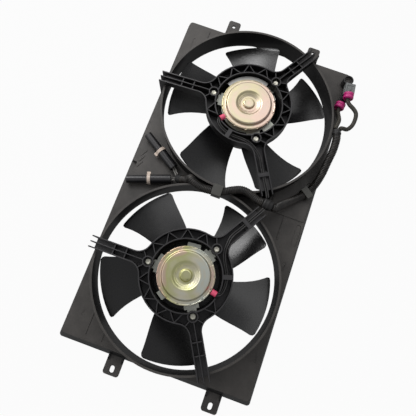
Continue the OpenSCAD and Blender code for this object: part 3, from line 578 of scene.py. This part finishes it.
def sweep(name: str, paths: list[list[Vector]], radius: Callable[[float], float], sides: int) -> bpy.types.Object:
    """Round tubes along paths, closed at their ends, with the length in metres as the second UV.

    Args:
        name: the piece's name.
        paths: the middle lines.
        radius: radius at a distance along a line, in metres.
        sides: facets round a tube.

    Returns:
        One mesh object.
    """
    points, faces, uvs = [], [], []
    for path in paths:
        base, along = len(points), 0.0
        rows = []
        for i, at in enumerate(path):
            ahead = (path[min(i + 1, len(path) - 1)] - path[max(i - 1, 0)]).normalized()
            side = ahead.cross(Vector((0, 0, 1))).normalized()
            up = side.cross(ahead)
            along += (at - path[i - 1]).length if i else 0.0
            rows.append(along)
            for k in range(sides):
                turn = math.tau * k / sides
                points.append(at + radius(along) * (math.cos(turn) * side + math.sin(turn) * up))
        for i in range(len(path) - 1):
            for k in range(sides):
                a, b = base + i * sides + k, base + i * sides + (k + 1) % sides
                faces.append((a, b, b + sides, a + sides))
                uvs.append([(k / sides, rows[i]), ((k + 1) / sides, rows[i]),
                            ((k + 1) / sides, rows[i + 1]), (k / sides, rows[i + 1])])
        last = base + (len(path) - 1) * sides
        faces.append(tuple(range(base + sides - 1, base - 1, -1)))
        faces.append(tuple(range(last, last + sides)))
        uvs.extend([[(0.5, rows[0])] * sides, [(0.5, rows[-1])] * sides])
    mesh = bpy.data.meshes.new(name)
    mesh.from_pydata(points, [], faces)
    layer = mesh.uv_layers.new(name="length")
    flat = [value for face in uvs for uv in face for value in uv]
    layer.data.foreach_set("uv", flat)
    piece = bpy.data.objects.new(name, mesh)
    bpy.context.scene.collection.objects.link(piece)
    take(piece)
    bpy.ops.object.mode_set(mode="EDIT")
    bpy.ops.mesh.select_all(action="SELECT")
    bpy.ops.mesh.normals_make_consistent(inside=False)
    bpy.ops.object.mode_set(mode="OBJECT")
    return settle(piece, 50.0)


def beside(path: list[Vector], shift: float) -> list[Vector]:
    """A path moved sideways, level with the ground."""
    moved = []
    for i, at in enumerate(path):
        ahead = (path[min(i + 1, len(path) - 1)] - path[max(i - 1, 0)]).normalized()
        moved.append(at + shift * ahead.cross(Vector((0, 0, 1))).normalized())
    return moved


def pair(path: list[Vector]) -> list[list[Vector]]:
    """The middle lines of two wires that run side by side along a path."""
    return [beside(path, side * (WIRE_D / 2 + WIRE_GAP)) for side in (-1, 1)]


@dataclass
class Shroud:
    """The panel with its two barrels, and what is moulded or clipped on it."""

    panel: bpy.types.Material = field(default_factory=BLACK_PANEL.material)
    flare: float = 8.0 * MM
    wall_low: float = 17.0 * MM
    wall_top: float = 24.5 * MM
    wall_t: float = 1.0 * MM
    notch_x: Point = (-0.3 * MM, 3.6 * MM, 9.6 * MM)
    notch_y: Point = (-48.6 * MM, -12.6 * MM, 6.6 * MM)

    def build(self) -> None:
        """Builds the shroud's own mesh and the wall round its notch."""
        RoundedNode("shroud", "shroud_plastic", self.panel, width=0.00028).build()
        self.notch_wall()

    def notch_wall(self) -> bpy.types.Object:
        """The upright wall round the notch in the left edge, from the notch's floor up to the panel.

        Returns:
            The wall.
        """
        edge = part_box("shroud")[0][0] + self.flare
        rim, shallow, deep = (edge + x for x in self.notch_x)
        low, step, high = self.notch_y
        corners = [(rim, low), (shallow, low), (shallow, step), (deep, step), (deep, high), (rim, high)]
        height = self.wall_top - self.wall_low
        deselect()
        bpy.ops.mesh.primitive_plane_add(size=1.0, rotation=(math.pi / 2, 0, 0),
                                         location=((rim + shallow) / 2, low, self.wall_low + height / 2))
        wall = bpy.context.object
        wall.scale = (shallow - rim, height, 1.0)
        take(wall)
        bpy.ops.object.transform_apply(location=True, rotation=True, scale=True)
        for point in wall.data.vertices:
            point.select = abs(point.co.x - shallow) < 0.01 * MM
        for line in wall.data.edges:
            line.select = all(wall.data.vertices[i].select for i in line.vertices)
        for face in wall.data.polygons:
            face.select = False
        bpy.ops.object.mode_set(mode="EDIT")
        bpy.ops.mesh.select_mode(type="EDGE")
        for (a, b), (c, d) in zip(corners[1:], corners[2:]):
            bpy.ops.mesh.extrude_region_move(TRANSFORM_OT_translate={"value": (c - a, d - b, 0.0)})
        bpy.ops.mesh.select_mode(type="VERT")
        bpy.ops.object.mode_set(mode="OBJECT")
        tool = wall.modifiers.new("wall", "SOLIDIFY")
        tool.thickness = self.wall_t
        tool.offset = 0.0
        take(wall)
        bpy.ops.object.modifier_apply(modifier=tool.name)
        wall.name = "notch_wall"
        settle(wall)
        return dress(wall, self.panel, "root")


@dataclass
class MotorUnit:
    """A carrier with its fan and motor."""

    unit: Unit
    ribs: bpy.types.Material
    blades: bpy.types.Material
    screw_metal: bpy.types.Material
    silver: bpy.types.Material
    skin: bpy.types.Material
    pink: bpy.types.Material
    dull: bpy.types.Material
    screw_circle_r: float = 68.9 * MM
    seat_z: float = 79.0 * MM
    flange_r: float = 5.25 * MM
    flange_h: float = 1.0 * MM
    hex_r: float = 4.4 * MM
    hex_h: float = 3.2 * MM
    head_top: float = 4.0 * MM
    recess_rim: float = 1.1 * MM
    recess_depth: float = 0.5 * MM
    shank_r: float = 3.0 * MM
    shank_l: float = 21.0 * MM
    collar_r: float = 62.9 * MM
    collar_bore: float = 61.2 * MM
    collar_low: float = 53.0 * MM
    collar_top: float = 67.7 * MM
    arm_notch: Point = (24.0 * MM, 17.0 * MM, 10.0 * MM)
    bracket_low: float = 64.7 * MM
    shelf_in: float = 44.8 * MM
    shelf_out: float = 58.5 * MM
    shelf_low: float = 79.4 * MM
    shelf_top: float = 81.6 * MM
    shelf_arc: tuple[float, float] = (127.5, 212.0)
    boss_r: float = 8.5 * MM
    boss_wide_r: float = 11.0 * MM
    hollow_r: float = 15.4 * MM
    hollow_depth: float = 5.0 * MM
    hollow_slack: float = 0.2 * MM
    ring_run: tuple[tuple[float, float], ...] = ((51.5, -72), (57, -72), (62, -72), (67, -67), (69, -55), (69.5, -40),
                                                 (70, -22), (76.5, -10.5), (88, -4))
    ring_run_z: float = 83.0
    arm_run: Route = ((104, 0, 82), (125, 0, 79.6), (148, 0, 79.1))

    def name(self, piece: str) -> str:
        """The node name of one of this unit's pieces."""
        return f"{self.unit.label}_{piece}"

    def build(self, wire_tail: Route, cap: PassivatedCap) -> None:
        """Builds and dresses the unit.

        Args:
            wire_tail: the last points of the wires, in millimetres, round the unit's own axis.
            cap: the finish of this motor's cap.
        """
        rotor = f"{self.unit.label}_rotor"
        shell = cap.material()
        RoundedNode(self.name("motor_carrier"), "carrier_plastic", self.ribs, width=0.0003).build()
        RoundedNode(self.name("fan"), "fan_plastic", self.blades, rotor, width=0.0).build()
        self.widen_boss(RoundedNode(self.name("motor_cap"), "zinc_yellow", shell, width=0.0007, segments=3,
                                    sharp=20.0).build())
        RoundedNode(self.name("motor_bracket"), "bracket_zinc", self.silver, width=0.0003).build()
        RoundedNode(self.name("lead_sleeve"), "pink_plastic", self.pink, width=0.0004).build()
        paint({self.name("motor_can"): shell})
        self.collar()
        if self.unit is Unit.UPPER:
            self.shelf()
        self.screws()
        self.wires(wire_tail)

    def widen_boss(self, cap: bpy.types.Object) -> None:
        """Spreads the pressed boss in the middle of the cap's hollow to the width that the photograph shows.

        Args:
            cap: the cap, already rounded.
        """
        back = self.unit.place.inverted()
        floor = max(point.co.z for point in cap.data.vertices) - self.hollow_depth
        for point in cap.data.vertices:
            place = back @ point.co
            r = math.hypot(place.x, place.y)
            if place.z > floor - self.hollow_slack and 0.0 < r < self.hollow_r:
                wide = r * self.boss_wide_r / self.boss_r
                if r > self.boss_r:
                    share = (r - self.boss_r) / (self.hollow_r - self.boss_r)
                    wide = self.boss_wide_r + share * (self.hollow_r - self.boss_wide_r)
                place.x *= wide / r
                place.y *= wide / r
                point.co = self.unit.place @ place

    def collar(self) -> bpy.types.Object:
        """The thin collar below the ring's bore that hides the gap over the hub, notched for the bracket's arms.

        Returns:
            The collar.
        """
        deselect()
        height = self.collar_top - self.collar_low
        bpy.ops.mesh.primitive_cylinder_add(vertices=96, radius=self.collar_r, depth=height, end_fill_type="NOTHING",
                                            location=(0, 0, self.collar_low + height / 2))
        ring = bpy.context.object
        wall = ring.modifiers.new("wall", "SOLIDIFY")
        wall.thickness = self.collar_r - self.collar_bore
        wall.offset = -1.0
        take(ring)
        bpy.ops.object.modifier_apply(modifier=wall.name)
        for turn in (0, 120, 240):
            deselect()
            bpy.ops.mesh.primitive_cube_add(size=1.0, rotation=(0, 0, math.radians(turn)))
            cutter = bpy.context.object
            cutter.scale = self.arm_notch
            cutter.location = Matrix.Rotation(math.radians(turn), 4, "Z") @ Vector(
                (self.collar_r, 0, self.bracket_low + self.arm_notch[2] / 2))
            take(ring)
            cut = ring.modifiers.new("notch", "BOOLEAN")
            cut.operation = "DIFFERENCE"
            cut.object = cutter
            bpy.context.view_layer.update()
            bpy.ops.object.modifier_apply(modifier=cut.name)
            bpy.data.objects.remove(cutter)
        bevel(ring, 0.3 * MM, 1, 50.0)
        ring.data.transform(self.unit.place)
        ring.name = self.name("ring_collar")
        settle(ring)
        return dress(ring, self.ribs, "root")

    def shelf(self) -> bpy.types.Object:
        """The curved shelf of pressed steel that stands out below the cap's flange, spun from its section.

        Returns:
            The shelf.
        """
        start, end = (math.radians(angle) for angle in self.shelf_arc)
        deselect()
        bpy.ops.mesh.primitive_plane_add(size=1.0, rotation=(math.pi / 2, 0, 0), location=(
            (self.shelf_in + self.shelf_out) / 2, 0, (self.shelf_low + self.shelf_top) / 2))
        shelf = bpy.context.object
        shelf.scale = (self.shelf_out - self.shelf_in, self.shelf_top - self.shelf_low, 1.0)
        take(shelf)
        bpy.ops.object.transform_apply(location=True, rotation=True, scale=True)
        bpy.ops.object.mode_set(mode="EDIT")
        bpy.ops.mesh.select_all(action="SELECT")
        bpy.ops.mesh.spin(steps=36, angle=end - start, center=(0, 0, 0), axis=(0, 0, 1))
        bpy.ops.mesh.select_all(action="SELECT")
        bpy.ops.mesh.remove_doubles(threshold=2e-6)
        bpy.ops.mesh.normals_make_consistent(inside=False)
        bpy.ops.object.mode_set(mode="OBJECT")
        bevel(shelf, 0.5 * MM, 2, 40.0)
        middle = sum((point.co for point in shelf.data.vertices), Vector()) / len(shelf.data.vertices)
        back = -math.atan2(middle.y, middle.x)
        shelf.data.transform(self.unit.place @ Matrix.Rotation(back + (start + end) / 2, 4, "Z"))
        shelf.name = self.name("motor_shelf")
        settle(shelf)
        return dress(shelf, self.dull, "root")

    def screws(self) -> bpy.types.Object:
        """Three screws with a flange and a six-sided head, modelled once and copied.

        Returns:
            The three screws as one piece.
        """
        deselect()
        bpy.ops.mesh.primitive_cylinder_add(vertices=32, radius=self.flange_r, depth=self.flange_h,
                                            location=(0, 0, self.flange_h / 2))
        flange = bpy.context.object
        bevel(flange, 0.3 * MM, 2, 60.0)
        deselect()
        bpy.ops.mesh.primitive_cylinder_add(vertices=6, radius=self.hex_r, depth=self.hex_h,
                                            location=(0, 0, self.head_top - self.hex_h / 2))
        head = bpy.context.object
        pick_top(head)
        bpy.ops.mesh.inset(thickness=self.recess_rim)
        bpy.ops.transform.translate(value=(0, 0, -self.recess_depth))
        bpy.ops.object.mode_set(mode="OBJECT")
        bevel(head, 0.25 * MM, 2, 30.0)
        deselect()
        bpy.ops.mesh.primitive_cylinder_add(vertices=20, radius=self.shank_r, depth=self.shank_l,
                                            location=(0, 0, -self.shank_l / 2))
        shank = bpy.context.object
        bevel(shank, 0.5 * MM, 1, 60.0)
        head.select_set(True)
        flange.select_set(True)
        bpy.context.view_layer.objects.active = flange
        bpy.ops.object.join()
        settle(flange)
        copies = []
        for turn in (0, 120, 240):
            copy = bpy.data.objects.new(f"screw_{turn}", flange.data.copy())
            bpy.context.scene.collection.objects.link(copy)
            copy.data.transform(self.unit.place @ Matrix.Rotation(math.radians(turn), 4, "Z")
                                @ Matrix.Translation((self.screw_circle_r, 0, self.seat_z)))
            copies.append(copy)
        bpy.data.objects.remove(flange)
        deselect()
        for copy in copies:
            copy.select_set(True)
        bpy.context.view_layer.objects.active = copies[0]
        bpy.ops.object.join()
        copies[0].name = self.name("motor_screws_part")
        return dress(copies[0], self.screw_metal, "root", [self.name("motor_screws")])

    def wires(self, tail: Route) -> bpy.types.Object:
        """Two wires, out of the sleeve, round the ring's channel and along the wire arm.

        Args:
            tail: the last points of their route.

        Returns:
            The two wires as one piece.
        """
        route = [(r * math.cos(math.radians(turn)), r * math.sin(math.radians(turn)), self.ring_run_z)
                 for r, turn in self.ring_run]
        lines = pair(curve_through([*route, *self.arm_run, *tail], 6))
        paths = [[self.unit.place @ point for point in line] for line in lines]
        piece = sweep(self.name("motor_leads_part"), paths, lambda _: WIRE_D / 2, 16)
        return dress(piece, self.skin, "root", [self.name("motor_leads")])


JUNCTION_START = Vector((83, 0, 76))
JUNCTION_END = JUNCTION_START + 20.1 * Vector((19.7, -1, -2.65)).normalized()
PANEL_Z = 26.0
COVER_R = 8.75
TIE_T = 1.4
SEAT_GAP = 0.3
COVER_Z = PANEL_Z + COVER_R + TIE_T + SEAT_GAP


@dataclass
class Harness:
    """The corrugated tubes, splices, clips and plugs that join the two motors. Routes are in millimetres."""

    tube: bpy.types.Material
    woven: bpy.types.Material
    pale_skin: bpy.types.Material
    tape: bpy.types.Material
    rubber: bpy.types.Material
    clip: bpy.types.Material
    cover: bpy.types.Material
    nylon: bpy.types.Material
    black_plug: bpy.types.Material
    grey_plug: bpy.types.Material
    pink: bpy.types.Material
    web: bpy.types.Material
    tube_r: float = 7.5 * MM
    ridge: float = 0.9 * MM
    pitch: float = 3.0 * MM
    lead_r: float = 4.0 * MM
    lead_step: float = 1.2 * MM
    web_at: Point = (172.0 * MM, 309.0 * MM, 40.0 * MM)
    web_r: float = 8.0 * MM
    web_t: float = 2.5 * MM
    web_rim: float = 2.6 * MM
    web_slope: float = 0.8 * MM
    web_dish: float = 1.2 * MM
    left_route: Route = (
        (-70, -3, 50), (-59.2, -3.2, 60.9), (-54, -1.5, 73.5), (-46, -7, 76.8), (-30, -12, 76.5), (-12, -11.5, 76.5),
        (0, -9.5, 76.5), (12, -6, 76.5), (25, 2, 76.5), (41, 8.5, 76.5), (56, 7, 76.8), (70, 1.2, 77.5),
        tuple(JUNCTION_START))
    right_route: Route = (
        tuple(JUNCTION_END), tuple(JUNCTION_END + Vector((6.6, 0.65, -1.7))), (117, 9, 63.5), (131, 24, 48),
        (146, 40, 37), (160, 56, 34.5), (170, 74, 38), (175, 96, 49), (177, 122, 58), (179, 145, 64),
        (178.5, 166, 66), (176.5, 176, 66))
    straight_lead: Route = (
        (170.6, 187.3, 65.2), (172.2, 196, 63), (175, 212, 55.5), (173.6, 228, 44.5), (171.6, 239, 38),
        (171.4, 248, 36.5), (172.2, 253.5, 36.5))
    looped_lead: Route = (
        (179.3, 188.6, 65), (180.8, 192.6, 64.3), (186, 195.6, 61), (195, 199.5, 56.5), (203, 213, 52),
        (205.5, 229, 50.5), (203.5, 241, 50.5), (196, 248.5, 50.8), (187, 254, 50.8), (181, 260.5, 50.8),
        (179.9, 268.5, 50.8))
    splices: tuple[Route, Route] = (
        ((-100, 20, COVER_Z), (-94, 15.5, COVER_Z), (-88, 9, COVER_Z + 1), (-81.5, 2, COVER_Z + 2.8)),
        ((-98, -9.2, COVER_Z), (-91.5, -6.8, COVER_Z), (-86.5, -5.2, COVER_Z + 1), (-81.3, -3.8, COVER_Z + 2.8)))

    def build(self) -> None:
        """Builds and dresses every piece of the harness."""
        self.clip_web()
        self.conduit("left", self.left_route)
        self.conduit("right", self.right_route)
        self.splice_wires()
        self.plug_lead("straight", self.straight_lead)
        self.plug_lead("looped", self.looped_lead)
        for node, slot, material, width in (
                ("harness_boot", "harness_rubber", self.rubber, 0.0008),
                ("junction_tape", "harness_tape", self.tape, 0.001),
                ("conduit_end_tape", "harness_tape", self.tape, 0.0006),
                ("middle_conduit_clip", "clip_plastic", self.clip, 0.0008),
                ("right_conduit_clip", "clip_plastic", self.clip, 0.0008),
                ("upper_splice_cover", "cover_plastic", self.cover, 0.0006),
                ("lower_splice_cover", "cover_plastic", self.cover, 0.0006),
                ("cable_ties", "tie_plastic", self.nylon, 0.0003),
                ("black_plug", "plug_plastic", self.black_plug, 0.0006),
                ("grey_plug", "grey_plastic", self.grey_plug, 0.0007),
                ("plug_seals", "pink_plastic", self.pink, 0.0004),
                ("plug_clip", "plug_plastic", self.black_plug, 0.0006)):
            RoundedNode(node, slot, material, width=width).build()

    def conduit(self, side: str, route: Route) -> bpy.types.Object:
        """A corrugated tube along a route.

        Args:
            side: "left" or "right".
            route: its points.

        Returns:
            The tube.
        """
        def ridged(s: float) -> float:
            """Radius at a distance along the tube: broad ridges with narrow valleys."""
            wave = 0.5 + 0.5 * math.cos(math.tau * s / self.pitch)
            return self.tube_r - self.ridge * (1 - wave) ** 3

        path = even(curve_through(route, 8), self.pitch / 8)
        piece = sweep(f"{side}_conduit_part", [path], ridged, 24)
        return dress(piece, self.tube, "root", [f"{side}_conduit"])

    def clip_web(self) -> bpy.types.Object:
        """The dished web that closes the ring of the plug clip below its rim.

        Returns:
            The web.
        """
        deselect()
        bpy.ops.mesh.primitive_cylinder_add(vertices=48, radius=self.web_r, depth=self.web_t, location=self.web_at)
        web = bpy.context.object
        pick_top(web)
        bpy.ops.mesh.inset(thickness=self.web_rim)
        bpy.ops.mesh.inset(thickness=self.web_slope)
        bpy.ops.transform.translate(value=(0, 0, -self.web_dish))
        bpy.ops.object.mode_set(mode="OBJECT")
        web.name = "plug_clip_web"
        settle(web)
        return dress(web, self.web, "root")

    def splice_wires(self) -> bpy.types.Object:
        """Two pairs of pale wires between the splice covers and the boot."""
        paths = [line for route in self.splices for line in pair(curve_through(route, 8))]
        piece = sweep("splice_wires_part", paths, lambda _: WIRE_D / 2, 16)
        return dress(piece, self.pale_skin, "root", ["splice_wires"])

    def plug_lead(self, shape: str, route: Route) -> bpy.types.Object:
        """A lead in its woven sleeve.

        Args:
            shape: "straight" or "looped".
            route: its points.

        Returns:
            The lead.
        """
        path = even(curve_through(route, 8), self.lead_step)
        piece = sweep(f"{shape}_plug_lead_part", [path], lambda _: self.lead_r, 20)
        return dress(piece, self.woven, "root", [f"{shape}_plug_lead"])


def paint(finishes: dict[str, bpy.types.Material]) -> None:
    """Gives nodes whose shape stays a better material."""
    for name, material in finishes.items():
        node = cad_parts[name]
        for slot in node.material_slots:
            slot.material = material
        log.info("%s: painted %s", name, material.name)


def paint_inner_pieces() -> None:
    """Dresses what lies inside the motors and under the hubs."""
    steel, copper, bronze = PLAIN_STEEL.material(), COPPER.material(), BRONZE.material()
    card, carbon, ferrite = CARD.material(), CARBON.material(), FERRITE.material()
    for unit in Unit:
        paint({f"{unit.label}_{piece}": material for piece, material in (
            ("fan_nut", steel), ("motor_shaft", steel), ("armature_core", steel), ("armature_winding", copper),
            ("commutator", copper), ("motor_bearings", bronze), ("motor_magnets", ferrite),
            ("brush_card", card), ("brushes", carbon))})


@dataclass(frozen=True)
class SoftLamp:
    """A soft rectangular lamp: where it hangs, the point that it faces, its sides in metres and its watts."""

    name: str
    at: Point
    towards: Point
    width: float
    height: float
    power: float

    def build(self) -> None:
        """Adds the lamp."""
        data = bpy.data.lights.new(self.name, "AREA")
        data.shape = "RECTANGLE"
        data.size, data.size_y, data.energy = self.width, self.height, self.power
        lamp = bpy.data.objects.new(self.name, data)
        bpy.context.scene.collection.objects.link(lamp)
        aim = Vector(self.towards) - Vector(self.at)
        lamp.matrix_world = Matrix.Translation(self.at) @ aim.to_track_quat("-Z", "Y").to_matrix().to_4x4()


LAMPS = (SoftLamp("ceiling", (0.0, 0.78, 1.5), (0.0, 0.17, 0.1), 1.7, 0.75, 5.0),
         SoftLamp("window", (-0.9, 0.12, 0.76), (0.0, 0.05, 0.0), 1.85, 0.78, 5.6),
         SoftLamp("pane", (-0.74, 0.5, 0.86), (0.0, 0.0, 0.04), 0.42, 0.34, 4.0),
         SoftLamp("low_window", (-0.45, 1.5, 0.85), (0.0, 0.1, 0.0), 1.1, 0.7, 4.5))


@dataclass
class Studio:
    """The pale floor, the soft lights and the camera."""

    camera_at: Point = (0.0225, -0.1793, 0.7478)
    camera_turn: Point = (0.2046, 0.0047, 0.3471)
    lens: float = 33.36
    sensor: float = 36.0
    floor_size: float = 9.0
    floor_drop: float = 0.0008
    floor_seen: float = 0.96
    floor_mirrored: float = 0.2
    room_light: float = 0.42

    def build(self) -> None:
        """Adds the camera, the floor, the world and the lamps."""
        self.camera()
        self.floor()
        self.world()
        for lamp in LAMPS:
            lamp.build()
        bpy.context.scene.view_settings.view_transform = "Standard"

    def camera(self) -> None:
        """Places the camera where the picture was taken."""
        data = bpy.data.cameras.new("camera")
        data.lens = self.lens
        data.sensor_width = self.sensor
        data.clip_start = 0.01
        camera = bpy.data.objects.new("camera", data)
        bpy.context.scene.collection.objects.link(camera)
        turn = Vector(self.camera_turn)
        camera.matrix_world = Matrix.Translation(self.camera_at) @ Quaternion(
            turn.normalized(), turn.length).to_matrix().to_4x4()
        bpy.context.scene.camera = camera

    def floor(self) -> None:
        """A wide floor that shows near white and keeps a faint shadow."""
        deselect()
        bpy.ops.mesh.primitive_plane_add(size=self.floor_size, location=(0, 0, -self.floor_drop))
        floor = bpy.context.object
        floor.name = "floor"
        g = Graph("pale_floor")
        bright = g.node("ShaderNodeEmission", {}, {"Color": (1.0, 1.0, 1.0), "Strength": 1.0})
        seen = g.node("ShaderNodeLightPath", output="Is Camera Ray")
        mirrored = g.node("ShaderNodeLightPath", output="Is Glossy Ray")
        share = seen * self.floor_seen + mirrored * self.floor_mirrored
        g.set(Base_Color=(0.2, 0.2, 0.2), Roughness=0.9, Specular_IOR_Level=0.1)
        both = g.node("ShaderNodeMixShader", {}, {0: share, 1: Socket(g, g.shader.outputs[0]), 2: bright})
        g.feed(g.tree.nodes["Material Output"].inputs["Surface"], both)
        floor.data.materials.append(g.material)

    def world(self) -> None:
        """Soft light from all round, white where the camera looks past the floor."""
        world = bpy.data.worlds.new("soft_room")
        bpy.context.scene.world = world
        world.use_nodes = True
        nodes, links = world.node_tree.nodes, world.node_tree.links
        background = nodes["Background"]
        background.inputs["Color"].default_value = (0.97, 0.98, 1.0, 1.0)
        path = nodes.new("ShaderNodeLightPath")
        strength = nodes.new("ShaderNodeMapRange")
        strength.inputs["To Min"].default_value = self.room_light
        strength.inputs["To Max"].default_value = 1.0
        links.new(path.outputs["Is Camera Ray"], strength.inputs["Value"])
        links.new(strength.outputs["Result"], background.inputs["Strength"])


def main() -> None:
    """Builds the studio, the shroud, the two motor units and the harness in order."""
    logging.basicConfig(level=logging.INFO, format="%(name)s %(message)s")
    Studio().build()
    shroud = Shroud()
    shroud.build()
    ribs, blades = BLACK_RIBS.material(), BLACK_BLADES.material()
    silver, dull, screw_metal = SILVER_ZINC.material(), DULL_ZINC.material(), SCREW_ZINC.material()
    skin, pink, salmon = WIRE_SKIN.material(), PINK.material(), SALMON.material()
    tails = {Unit.UPPER: ((168, 0, 79), (180.4, -1, 78.5)), Unit.LOWER: ((168, 0, 79), (180.5, 0.5, 78.5))}
    for unit in Unit:
        films, shift, lean = (UPPER_FILMS, 0.0, 5.0) if unit is Unit.UPPER else (LOWER_FILMS, 0.3, 9.0)
        cap = PassivatedCap(f"{unit.label}_cap_yellow_zinc", (0.0, unit.value[1], 0.0), films, shift, lean)
        MotorUnit(unit, ribs, blades, screw_metal, silver, skin, salmon, dull).build(tails[unit], cap)
    Harness(CORRUGATED.material(), WOVEN.material(), PALE_WIRE.material(), TAPE.material(),
            MOULDED_RUBBER.material(), GREY_CLIP.material(), BLACK_SMOOTH.material(), NYLON.material(),
            BLACK_PLUG.material(), GREY_PLUG.material(), pink, shroud.panel).build()
    paint_inner_pieces()


if __name__ == "__main__":
    main()
